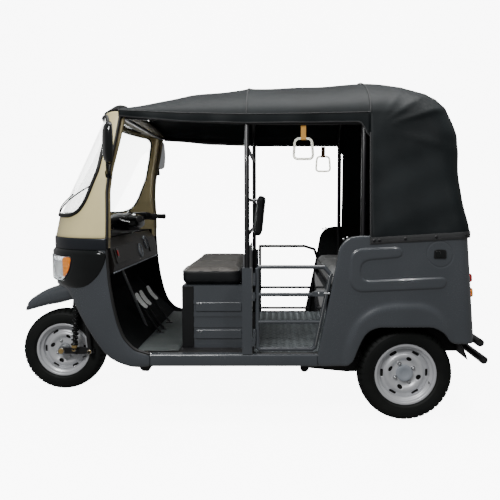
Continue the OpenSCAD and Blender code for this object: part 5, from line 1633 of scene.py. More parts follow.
@dataclass
class Screen:
    """Windscreen: painted surround, rubber seal, glass, wiper and inner pillars."""

    power: float = 2.2
    scale: float = 0.60
    levels: tuple[tuple[float, float, float, float], ...] = (
        (0.988, DOOR_X + 0.0020, NOSE_X, HALF_WIDTH - 0.008),
        (1.105, DOOR_X + 0.0020, NOSE_X - 0.0280, HALF_WIDTH - 0.0200),
        (1.230, DOOR_X + 0.0050, NOSE_X - 0.0950, HALF_WIDTH - 0.0356),
        (1.340, DOOR_X - 0.0066, NOSE_X - 0.1539, HALF_WIDTH - 0.0493),
        (1.500, DOOR_X - 0.0383, NOSE_X - 0.2396, HALF_WIDTH - 0.0693),
        (1.650, DOOR_X - 0.0640, NOSE_X - 0.3200, HALF_WIDTH - 0.0880))
    opening: tuple[tuple[float, float], ...] = (
        (1.060, 1.105), (0.870, 1.105), (0.815, 1.128), (0.780, 1.175), (0.760, 1.215), (0.726, 1.300),
        (0.706, 1.345), (0.672, 1.500), (0.656, 1.596), (0.670, 1.632), (0.760, 1.638))

    def point(self, a: Array, z: Array) -> Array:
        """Surface point at an angle round the plan and a height."""
        rows = np.array(self.levels)
        door, nose, half = (np.interp(z, rows[:, 0], rows[:, k]) for k in (1, 2, 3))
        c, s = np.abs(np.cos(a)), np.abs(np.sin(a))
        return np.stack([door + (nose - door) * c ** (2 / self.power), half * s ** (2 / self.power), z], -1)

    def place(self, q: Array, out: Array | float) -> Array:
        """Lays (angle x scale, z) on the surface, moved outwards by out along its normal."""
        a = np.clip(q[:, 0] / self.scale, 0.0, np.pi / 2)
        e = np.clip(a, 0.02, np.pi / 2 - 0.02)
        z = q[:, 1]
        zc = np.clip(z, 0.990, 1.648)
        du = self.point(e + 0.01, zc) - self.point(e - 0.01, zc)
        dv = self.point(e, zc + 0.002) - self.point(e, zc - 0.002)
        n = unit(np.cross(du, dv))
        return self.point(a, z) + n * np.broadcast_to(out, len(z))[:, None]

    def flat(self, side: Array) -> Array:
        """Side view (x, z) as (angle x scale, z)."""
        rows = np.array(self.levels)
        door, nose = (np.interp(side[:, 1], rows[:, 0], rows[:, k]) for k in (1, 2))
        share = np.clip((side[:, 0] - door) / (nose - door), 0.0, 1.0)
        return np.column_stack([np.arccos(share ** (self.power / 2)) * self.scale, side[:, 1]])

    def rim(self) -> Array:
        """Edge of the glass from the middle below, round the side, to the middle above."""
        line = rounded_path(self.opening, 0.045)
        line = resampled(line, 0.012, closed=False)
        flat = self.flat(line)
        return np.vstack([[(0.0, flat[0, 1])], flat[(flat[:, 0] > 0.004)], [(0.0, flat[-1, 1])]])

    def build(self) -> None:
        """Makes the surround, its lining, the glass, the seal, pillars and wiper; lining and pillars carry the beige
        darkened to a painted shade.
        """
        far = np.pi / 2 * self.scale
        rim = self.rim()
        outline = np.vstack([[(0.0, 0.985), (far, 0.985), (far, 1.655), (0.0, 1.655)], rim[::-1]])
        sheet = trimmed(outline, (), 0.013, rings=(0.0012, 0.0035, 0.0070), open_edge=lambda q: q[:, 0] < 1e-6)
        drop = rolled(sheet.edge, 0.008)
        skin = sheet.shape(lambda q: self.place(q, -drop))
        lining = sheet.shape(lambda q: self.place(q, -0.010))
        pane = trimmed(rim, (), 0.030, open_edge=lambda q: q[:, 0] < 1e-6)
        glass = pane.shape(lambda q: self.place(q, -0.004))
        way = (0.7, 0.7, 0.1)
        skin = skin if faces_along(skin, way) else skin.turned()
        lining = lining.turned() if faces_along(lining, way) else lining
        glass = glass if faces_along(glass, way) else glass.turned()
        both = lambda s, f: [(s, f.material()), (s.mirrored(), f.material())]
        make("screen_surround_panel", both(skin, BEIGE), "vehicle",
             replaces=["screen_surround"], thick=0.003, sharp=55)
        # The lining is the beige darkened to a painted shade.
        make("screen_surround_lining", both(lining, BEIGE_PAINTED_SHADE), "vehicle", thick=0.002)
        make("windscreen_pane", both(glass, GLASS), "vehicle",
             replaces=["windscreen"], thick=0.004)
        line = self.place(rim, 0.0015)
        loop = np.vstack([line, (line * [1, -1, 1])[-2:0:-1]])
        inner = loop - unit(loop - loop.mean(0)) * 0.004
        make("windscreen_seal", [(tube(loop, 0.0105, 10, closed=True), SEAL.material()),
                                 (tube(inner, 0.0085, 10, closed=True), SEAL.material())],
             "vehicle", replaces=["screen_seal"])
        z = np.linspace(0.935, 1.652, 50)
        rows = np.array(self.levels)
        door, half = (np.interp(z, rows[:, 0], rows[:, k]) for k in (1, 3))
        plan = np.array([(-0.002, -0.012), (0.014, -0.012), (0.016, -0.016), (0.016, -0.062), (0.012, -0.066),
                         (0.000, -0.066), (-0.004, -0.062), (-0.004, -0.016)])
        post = np.stack([door[:, None] + plan[:, 0], half[:, None] + plan[:, 1],
                         np.broadcast_to(z[:, None], (50, 8))], -1)
        pillar = grid(post, wrap_v=True)
        # Inner pillars in the beige darkened to a painted shade.
        make("inner_pillars", both(pillar, BEIGE_PAINTED_SHADE), "vehicle", shell=True, bevel=0.001)
        edge = np.column_stack([door - 0.001, half - 0.005, z])
        make("pillar_edge_trim", both(tube(edge, 0.0075, 10, up=(0, 1, 0)), SEAL), "vehicle",
             shell=True)
        self.wiper()

    def wiper(self) -> None:
        """One wiper arm with its blade, resting low on the glass."""
        root = self.place(np.array([[0.12, 1.080]]), 0.012)[0]
        q = np.column_stack([np.linspace(0.12, 0.60, 14), np.linspace(1.080, 1.215, 14)])
        arm = self.place(q, np.linspace(0.014, 0.011, 14))
        b = np.column_stack([np.linspace(0.28, 0.80, 18), np.linspace(1.118, 1.262, 18)])
        blade = self.place(b, 0.0055)
        spindle = lathe([(0.0001, 0.012), (0.008, 0.011), (0.010, 0.006), (0.010, -0.006)][::-1], root,
                        (0.8, 0, 0.5), 20)
        make("wiper", [(tube(arm, 0.0035, 8), GLOSS_BLACK.material()),
                       (tube(blade, 0.0040, 8), SEAL.material()), (spindle, GLOSS_BLACK.material())],
             "vehicle", shell=True)


@dataclass
class Mudguard:
    """Front mudguard: an inverted channel lofted along the wheel, with a rolled lip."""

    half: float = 0.087
    top: tuple[tuple[float, float], ...] = (
        (1.325, 0.534), (1.318, 0.560), (1.288, 0.589), (1.202, 0.635), (1.082, 0.670), (0.998, 0.673),
        (0.945, 0.646))
    bottom: tuple[tuple[float, float], ...] = (
        (1.325, 0.509), (1.300, 0.516), (1.262, 0.527), (1.190, 0.546), (1.108, 0.561), (1.009, 0.586),
        (0.962, 0.578))

    def build(self) -> None:
        """Makes the shell, its lip and the two stays."""
        high, low = smooth_curve(self.top, 8), smooth_curve(self.bottom, 8)
        a = np.linspace(-np.pi / 2, np.pi / 2, 29)
        y = self.half * power(np.sin(a), 0.55)
        rise = np.abs(np.cos(a)) ** 0.62
        taper = 0.80 + 0.20 * ramp(np.arange(len(high)) / 10.0)
        x = low[:, None, 0] + (high[:, 0] - low[:, 0])[:, None] * rise
        z = low[:, None, 1] + (high[:, 1] - low[:, 1])[:, None] * rise
        z = z + 0.003 * np.exp(-(y / 0.012) ** 2) * rise
        points = np.stack([x, taper[:, None] * y, z], -1)
        shell = grid(points)
        shell = shell if faces_along(shell, (0, 0, 1)) else shell.turned()
        rim = np.vstack([points[:, 0][::-1], points[0, 1:-1], points[:, -1]])
        make("mudguard_shell", [(shell, BODY.material())], "steering",
             replaces=["front_mudguard"], thick=0.0025, sharp=60)
        make("mudguard_lip", [(tube(rim, 0.0042, 8), BODY.material())], "steering",
             shell=True)


# Cabin: floor, seats and controls.

def both_sides(shape: Shape, finish: Finish | Glazing) -> list[tuple[Shape, Material]]:
    """A shape and its mirror image in one finish."""
    return [(shape, finish.material()), (shape.mirrored(), finish.material())]


@dataclass
class Floor:
    """Sills, driver's ribbed mat and the passengers' tread plate."""

    front: float = 0.540
    rear: float = -0.522
    half: float = 0.600
    rib_pitch: float = 0.0125
    lozenge: tuple[float, float] = (0.0200, 0.0062)
    pitch: float = 0.044

    def sill(self, x0: float, x1: float, y1: float) -> Shape:
        """Rounded box section along the doorway, closed at its ends."""
        section = soft_corners([(0.601, 0.3735), (0.601, 0.3105), (y1, 0.3105), (y1, 0.3758),
                                (0.601, 0.3758)], 0.012)
        x = np.array([x0, x0 + 0.001, x1 - 0.001, x1])
        rows = np.stack([np.broadcast_to(x[:, None], (4, len(section))),
                         np.broadcast_to(section[:, 0], (4, len(section))),
                         np.broadcast_to(section[:, 1], (4, len(section)))], -1)
        shape = grid(rows, wrap_v=True)
        first = np.arange(len(section))[None, :]
        shape.faces += [first, (first + 3 * len(section))[:, ::-1]]
        return shape

    def mat(self) -> Shape:
        """Rubber mat: z = base + 1.4 mm (0.5 + 0.5 cos(2 pi y / pitch))^2, rolled down at its rim."""
        x = np.concatenate([[0.297, 0.299], np.linspace(0.304, 0.520, 24), [0.526, 0.528]])
        y = np.arange(-0.585, 0.5851, 0.0022)
        xx, yy = np.meshgrid(x, y, indexing="ij")
        wave = (0.5 + 0.5 * np.cos(2 * np.pi * yy / self.rib_pitch)) ** 2 * 0.0022
        rim = ramp((0.585 - np.abs(yy)) / 0.010) * ramp((xx - 0.297) / 0.008) * ramp((0.528 - xx) / 0.008)
        z = FLOOR_Z + 0.0030 + (wave + 0.0022) * rim + 0.0008 * np.sin(xx * 41 + yy * 13)
        return grid(np.stack([xx, yy, z], -1))

    def plate(self) -> Shape:
        """Tread plate: rows of lozenges that lean left and right in turn."""
        a = np.linspace(0, 2 * np.pi, 8, endpoint=False)
        base = np.column_stack([self.lozenge[0] * np.cos(a), self.lozenge[1] * np.sin(a)])
        x = np.arange(-0.505, -0.115, self.pitch / 2)
        y = np.arange(-0.580, 0.5801, self.pitch)
        xx, yy = np.meshgrid(x, y, indexing="ij")
        odd = (np.arange(len(x)) % 2)[:, None] * np.ones_like(yy)
        yy = yy + odd * self.pitch / 2
        turn = np.where(odd > 0, 0.75, -0.75).ravel()
        c, s = np.cos(turn)[:, None], np.sin(turn)[:, None]
        spots = []
        for size, z in ((1.0, 0.0), (0.62, 0.0030)):
            px = xx.ravel()[:, None] + size * (c * base[:, 0] - s * base[:, 1])
            py = yy.ravel()[:, None] + size * (s * base[:, 0] + c * base[:, 1])
            spots.append(np.stack([px, py, np.full(px.shape, FLOOR_Z + 0.0004 + z)], -1))
        n, k = len(turn), len(base)
        verts = np.stack(spots, 1).reshape(-1, 3)
        start = (np.arange(n) * 2 * k)[:, None, None]
        j = np.arange(k)
        side = np.stack([j, (j + 1) % k, (j + 1) % k + k, j + k], -1)[None] + start
        top = (j[None, :] + k) + start[:, :, 0]
        return Shape(verts, [side.reshape(-1, 4), top])

    def build(self) -> None:
        """Makes sills, deck, mat, tread plate and the small jacking brackets."""
        sills = both_sides(self.sill(-0.443, 0.4365, 0.6495), BODY) + both_sides(
            self.sill(-0.481, -0.443, 0.643), BODY)
        make("sills", sills, "vehicle", shell=True, sharp=30)
        deck = side_prism([(self.rear, 0.3702), (self.front - 0.001, 0.3702), (self.front - 0.001, 0.3756),
                           (self.rear, 0.3756)], -self.half, self.half)
        make("floor_deck", [(deck, CHASSIS.material())], "vehicle",
             replaces=["floor"], shell=True, bevel=0.0012)
        x = np.array([-0.512, -0.108])
        sheet = np.stack([*np.meshgrid(x, np.array([-0.594, 0.594]), indexing="ij"),
                          np.full((2, 2), FLOOR_Z + 0.0004)], -1)
        make("tread_plate", [(grid(sheet), PLATE.material()), (self.plate(), PLATE.material())],
             "vehicle", sharp=30, weld=1e-7)
        make("driver_mat", [(self.mat(), MAT.material())], "vehicle")
        hook = side_prism([(0.515, 0.3095), (0.503, 0.286), (0.490, 0.272), (0.458, 0.270), (0.448, 0.284),
                           (0.440, 0.3095)], 0.560, 0.598)
        make("sill_brackets", both_sides(hook, CHASSIS), "vehicle", shell=True,
             bevel=0.002)


@dataclass
class Cushion:
    """Padded piece: a rounded block inflated as cloth, then seamed."""

    name: str
    node: str
    half: tuple[float, float, float]
    place: Matrix
    top: Finish
    side: Finish
    split: float
    cap: float
    fill: float
    body: str = "vehicle"
    seams: tuple[float, ...] = ()
    shrink: float = 0.009
    voxel: float = 0.006

    def form(self) -> Shape:
        """Soft block: |x/a|^n + |y/b|^n + |z/c|^n = 1 with a light crown on its upper face."""
        u = np.linspace(-np.pi / 2, np.pi / 2, 41)
        v = np.linspace(-np.pi, np.pi, 120, endpoint=False)
        uu, vv = np.meshgrid(u, v, indexing="ij")
        a, b, c = (h - self.shrink for h in self.half)
        x = a * power(np.cos(uu), 0.30) * power(np.cos(vv), 0.16)
        y = b * power(np.cos(uu), 0.30) * power(np.sin(vv), 0.16)
        z = c * power(np.sin(uu), 0.34)
        crown = 0.006 * (1 - (x / a) ** 2) * (1 - (y / b) ** 2)
        z = np.where(z > 0, z + crown, z * self.half[2] / c)
        return grid(np.stack([x, y, z], -1), wrap_v=True)

    def inflate(self, obj: Piece) -> None:
        """Voxel remesh, then cloth under pressure for 20 frames with the travel capped."""
        remesh = obj.modifiers.new("even", "REMESH")
        remesh.mode = "VOXEL"
        remesh.voxel_size = self.voxel
        self.bake(obj)
        count = len(obj.data.vertices)
        start = np.zeros(count * 3, np.float32)
        obj.data.vertices.foreach_get("co", start)
        cloth = obj.modifiers.new("cloth", "CLOTH")
        cloth.settings.quality = 4
        cloth.settings.mass = 0.25
        cloth.settings.use_pressure = True
        cloth.settings.uniform_pressure_force = 4.0
        cloth.settings.effector_weights.gravity = 0.0
        cloth.point_cache.frame_start = 1
        cloth.point_cache.frame_end = 20
        for frame in range(1, 21):
            bpy.context.scene.frame_set(frame)
        view = bpy.context.evaluated_depsgraph_get()
        mesh = obj.evaluated_get(view).to_mesh()
        end = np.zeros(count * 3, np.float32)
        mesh.vertices.foreach_get("co", end)
        obj.modifiers.clear()
        bpy.context.scene.frame_set(1)
        start, end = start.reshape(-1, 3), end.reshape(-1, 3)
        move = np.nan_to_num(end - start)
        long = np.linalg.norm(move, axis=1, keepdims=True)
        move = move * np.minimum(1.0, self.cap / np.maximum(long, 1e-9))
        obj.data.vertices.foreach_set("co", (start + move).ravel())
        obj.data.update()

    @staticmethod
    def bake(obj: Piece) -> None:
        """Replaces the object's mesh by what its modifiers make of it."""
        view = bpy.context.evaluated_depsgraph_get()
        mesh = bpy.data.meshes.new_from_object(obj.evaluated_get(view))
        obj.modifiers.clear()
        obj.data = mesh

    def finish(self, obj: Piece) -> None:
        """Holds the block to its space, presses in the seams, splits the finishes and seats it."""
        mesh = obj.data
        co = np.zeros(len(mesh.vertices) * 3, np.float32)
        mesh.vertices.foreach_get("co", co)
        co = co.reshape(-1, 3).astype(float)
        lim = np.array(self.half)
        co = np.clip(co, -lim * [1, 1, 1] - [0.004, 0.004, 0.0], lim + [0.004, 0.004, 0.006])
        for y in self.seams:
            co[:, 2] -= 0.007 * np.exp(-((co[:, 1] - y) / 0.009) ** 2) * ramp(co[:, 2] / 0.02)
            co[:, 0] *= 1 - 0.012 * np.exp(-((co[:, 1] - y) / 0.009) ** 2)
        centre = np.zeros(len(mesh.polygons) * 3, np.float32)
        mesh.polygons.foreach_get("center", centre)
        low = centre.reshape(-1, 3)[:, 2] < self.split
        mesh.materials.clear()
        mesh.materials.append(self.top.material())
        mesh.materials.append(self.side.material())
        mesh.polygons.foreach_set("material_index", low.astype(np.int32))
        m = np.array(self.place, float)
        mesh.vertices.foreach_set("co", (co @ m[:3, :3].T + m[:3, 3]).astype(np.float32).ravel())
        mesh.polygons.foreach_set("use_smooth", np.ones(len(mesh.polygons), bool))
        mesh.update()

    def piping(self, obj: Piece) -> None:
        """Corded seams that lie on the finished surface: round the block and along its channels."""
        tree = BVHTree.FromObject(obj, bpy.context.evaluated_depsgraph_get())
        m = np.array(self.place, float)
        a = np.linspace(0, 2 * np.pi, 160, endpoint=False)
        lines = []
        for z in (self.split, self.half[2] * 0.78):
            ring = np.column_stack([self.half[0] * 1.05 * power(np.cos(a), 0.2),
                                    self.half[1] * 1.02 * power(np.sin(a), 0.2), np.full(160, z)])
            lines.append((ring, True))
        for y in self.seams:
            t = np.linspace(-1, 1, 60)
            over = np.column_stack([self.half[0] * 1.04 * t, np.full(60, y),
                                    np.full(60, self.half[2] + 0.03) - 0.08 * np.abs(t) ** 8])
            lines.append((over, False))
        parts = []
        for line, closed in lines:
            world = line @ m[:3, :3].T + m[:3, 3]
            near = np.array([tuple(tree.find_nearest(Vector(p))[0]) for p in world])
            finish = self.side if closed else self.top
            parts.append((tube(near, 0.0026 if closed else 0.0015, 8, closed=closed), finish.material()))
        make(f"{self.name}_piping", parts, self.body)

    def build(self) -> None:
        """Makes the pad and its piping."""
        shape = self.form()
        obj = make(f"{self.name}_pad", [(shape, self.top.material())], self.body,
                   replaces=[self.node], shell=True, sharp=180)
        self.inflate(obj)
        self.finish(obj)
        fine = obj.modifiers.new("fine", "SUBSURF")
        fine.levels = fine.render_levels = 1
        self.piping(obj)


def seats() -> list[Cushion]:
    """The four padded pieces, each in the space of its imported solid."""
    lean = math.radians(10.4)
    small = math.radians(6.0)
    return [
        Cushion("driver_cushion", "driver_cushion", (0.182, 0.500, 0.050), Matrix.Translation((0.131, 0, 0.771)),
                DRIVER_GREY, SEAT_BLACK, 0.026, 0.012, 0.8, seams=(-0.165, 0.165)),
        Cushion("bench_cushion", "bench_cushion", (0.216, 0.560, 0.057), Matrix.Translation((-0.716, 0, 0.747)),
                SEAT_GREY, SEAT_BLACK, -0.020, 0.014, 0.8, seams=(-0.19, 0.19)),
        Cushion("bench_backrest", "bench_backrest", (0.215, 0.560, 0.048),
                Matrix.Translation((-1.022, 0, 1.030)) @ Matrix.Rotation(math.radians(90.0) - lean, 4, "Y"),
                SEAT_BLACK, SEAT_BLACK, 0.0, 0.014, 0.7, seams=(-0.19, 0.19)),
        Cushion("driver_backrest", "driver_backrest", (0.134, 0.230, 0.025),
                Matrix.Translation((-0.1265, 0, 1.097)) @ Matrix.Rotation(math.radians(90.0) - small, 4, "Y"),
                SEAT_BLACK, SEAT_BLACK, 0.0, 0.007, 0.7)]


@dataclass
class Handlebar:
    """Bar with its moulded cover, gauge, boots, levers, switches and ribbed grips."""

    grip_in: tuple[float, float, float] = (0.625, 0.254, 1.087)
    grip_out: tuple[float, float, float] = (0.541, 0.373, 1.082)
    grip_r: float = 0.0168

    def cover(self) -> Shape:
        """Cover: closed rows across the vehicle that slope to the front and clear the bulkhead when turned.

        x = xc + a cos^.85, where the front reach shrinks with |y|; z = zc + c sin^.8, where c falls towards
        the front above and towards the ends below.
        """
        y = np.array([-0.125, -0.122, -0.112, -0.090, -0.060, -0.030, 0.0, 0.030, 0.060, 0.090, 0.112,
                      0.122, 0.125])
        wide = np.array([0.25, 0.62, 0.80, 0.92, 0.97, 0.99, 1.0, 0.99, 0.97, 0.92, 0.80, 0.62, 0.25])[:, None]
        a = np.linspace(0, 2 * np.pi, 40, endpoint=False)
        along, up, reach = power(np.cos(a), 0.85), power(np.sin(a), 0.80), np.abs(y)[:, None]
        x = 0.7215 + along * np.where(along > 0, 0.1215 - 0.60 * reach, 0.1175 * wide)
        above = (0.054 + 0.030 * (0.7215 - x) / 0.1175) * wide
        below = (0.046 - 0.22 * reach) * wide
        z = 1.0430 + up * np.where(up > 0, above, below)
        points = np.stack([x, np.broadcast_to(y[:, None], x.shape), z], -1)
        shape = grid(points, wrap_v=True)
        first = np.arange(40)[None, :]
        shape.faces += [first, (first + 12 * 40)[:, ::-1]]
        return shape

    def grip(self) -> Shape:
        """Grip turned round the bar: ribs of 0.7 mm every 5 mm, a flange and an end ring."""
        start, end = np.array(self.grip_in), np.array(self.grip_out)
        long = float(np.linalg.norm(end - start))
        h = np.arange(0.012, long - 0.010, 0.00125)
        ribs = self.grip_r - 0.0009 + 0.0009 * np.sin(2 * np.pi * h / 0.005)
        r = np.concatenate([[0.0112, 0.0225, 0.0232, 0.0225, 0.0172], ribs,
                            [0.0172, 0.0188, 0.0188, 0.0160, 0.0110, 0.0001]])
        hh = np.concatenate([[0.0, 0.0, 0.0035, 0.0070, 0.0085], h,
                             [long - 0.009, long - 0.007, long - 0.0015, long, long + 0.001, long + 0.0005]])
        return lathe(np.column_stack([r, hh]), start, end - start, 32)

    def build(self) -> None:
        """Makes every piece of the bar; all of it turns with the steering."""
        black, gloss = PLASTIC.material(), GLOSS_BLACK.material()
        make("handlebar_cover", [(self.cover(), gloss)], "steering",
             replaces=["handlebar"], shell=True, sharp=55, subdiv=1)
        bar = smooth_curve([(0.772, 0.060, 1.066), (0.735, 0.115, 1.080), (0.690, 0.175, 1.087),
                            self.grip_in, self.grip_out], 8)
        make("handlebar_tube", both_sides(tube(bar[:-2], 0.0108, 16), TUBE_BLACK), "steering",
             shell=True)
        boot = smooth_curve([(0.752, 0.088, 1.070), (0.722, 0.132, 1.079), (0.690, 0.175, 1.086),
                             (0.655, 0.215, 1.089), (0.632, 0.244, 1.088)], 6)
        radius = np.interp(np.linspace(0, 1, len(boot)), [0, 0.3, 0.65, 0.9, 1.0],
                           [0.038, 0.031, 0.0235, 0.0225, 0.0190])
        make("handlebar_boots", both_sides(tube(boot, radius, 24), PLASTIC), "steering",
             shell=True)
        make("handlebar_grips", both_sides(self.grip(), SEAL), "steering")
        perch = tube([(0.668, 0.205, 1.083), (0.690, 0.226, 1.079)], [0.017, 0.012], 14)
        lever = rounded_path([(0.690, 0.222, 1.078), (0.676, 0.250, 1.072), (0.640, 0.305, 1.066),
                              (0.597, 0.362, 1.062)], 0.03)
        width = np.interp(np.linspace(0, 1, len(lever)), [0, 0.2, 0.9, 1.0], [0.0070, 0.0052, 0.0045, 0.0068])
        make("levers", both_sides(perch, PLASTIC) + both_sides(tube(lever, width, 12), GLOSS_BLACK),
             "steering", shell=True)
        pod = tube([(0.648, 0.222, 1.0885), (0.630, 0.2475, 1.0870)], [0.0262, 0.0250], 20)
        knob = lathe([(0.0075, 0.0), (0.0075, 0.005), (0.0060, 0.0072), (0.0001, 0.0078)],
                     (0.6250, 0.2420, 1.0950), (-0.6, 0.2, 0.4), 16)
        make("switch_pods", both_sides(pod, PLASTIC) + [(knob, RED_PLASTIC.material())], "steering",
             shell=True, bevel=0.0015)
        way = Vector((-0.62, 0.0, 0.72)).normalized()
        at = Vector((0.668, 0.0, 1.093))
        ring = [(0.0400, -0.012), (0.0420, 0.004), (0.0405, 0.0075), (0.0370, 0.0080), (0.0355, 0.0045),
                (0.0350, 0.0030), (0.0001, 0.0030)]
        glass = [(0.0355, 0.0052), (0.0200, 0.0066), (0.0001, 0.0070)]
        needle = prism(np.array([(-0.0012, -0.004), (0.0012, -0.004), (0.0005, 0.026), (-0.0005, 0.026)]),
                       at + way * 0.0036, (0.0, 1.0, 0.0), way.cross(Vector((0.0, 1.0, 0.0))), 0.0006)
        make("gauge", [(lathe(ring, at, way, 48), gloss), (needle, RED_PLASTIC.material()),
                       (lathe(glass, at, way, 40), GLASS.material())], "steering")
        LOG.info("handlebar cover in %s", black.name)


@dataclass
class FrontSprings:
    """Coil-over shock absorbers, axle nuts and pivot bolts of the leading-link fork."""

    base: tuple[float, float, float] = (FRONT_AXLE - 0.089, 0.114, AXLE_Z + 0.026)
    long: float = 0.370
    turns: int = 9
    coil: float = 0.0182
    wire: float = 0.0046

    def build(self) -> None:
        """Makes springs, dampers, eyes, nuts and bolts."""
        axis = np.array([-math.sin(math.atan(0.07)), 0.0, math.cos(math.atan(0.07))])
        base = np.array(self.base)
        e = np.array([0.0, 1.0, 0.0])
        f = np.cross(axis, e)
        t = np.linspace(0, 1, self.turns * 18)
        a = 2 * np.pi * self.turns * t
        spring = base + axis * (0.030 + 0.228 * t)[:, None] + self.coil * (
            np.cos(a)[:, None] * e + np.sin(a)[:, None] * f)
        parts = both_sides(tube(spring, self.wire, 10), GLOSS_BLACK)
        lower = [(0.0001, 0.0), (0.0165, 0.0), (0.0178, 0.003), (0.0178, 0.012), (0.0200, 0.014),
                 (0.0200, 0.019), (0.0001, 0.020)]
        damper = [(0.0001, 0.019), (0.0228, 0.019), (0.0232, 0.024), (0.0215, 0.027), (0.0125, 0.029),
                  (0.0125, 0.150), (0.0135, 0.152), (0.0135, 0.262), (0.0001, 0.263)]
        upper = [(0.0001, 0.255), (0.0232, 0.257), (0.0238, 0.264), (0.0208, 0.268), (0.0205, 0.355),
                 (0.0180, 0.362), (0.0120, 0.368), (0.0001, 0.369)]
        parts += both_sides(lathe(lower, base, axis, 28), ZINC)
        parts += both_sides(lathe(damper, base, axis, 28), TUBE_BLACK)
        parts += both_sides(lathe(upper, base, axis, 28), GLOSS_BLACK)
        make("front_springs", parts, "steering", replaces=["front_shocks"])
        nuts = []
        for x, y, r, finish in ((FRONT_AXLE, 0.0955, 0.0165, ZINC), (FRONT_AXLE - 0.182, 0.1180, 0.0120, ZINC),
                                (FRONT_AXLE - 0.089, 0.1215, 0.0110, ZINC)):
            hexa = prism(hexagon(r), (x, y, AXLE_Z + (0.016 if x == FRONT_AXLE - 0.089 else 0.0)),
                         (1, 0, 0), (0, 0, 1), -0.009)
            washer = lathe([(r * 0.5, -0.0018), (r * 1.22, -0.0018), (r * 1.22, 0.0002), (r * 0.5, 0.0002)],
                           (x, y, AXLE_Z + (0.016 if x == FRONT_AXLE - 0.089 else 0.0)), (0, 1, 0), 24, closed=True)
            nuts += both_sides(hexa, finish) + both_sides(washer, STEEL)
        make("front_axle_nuts", nuts, "steering", shell=True, bevel=0.0008)


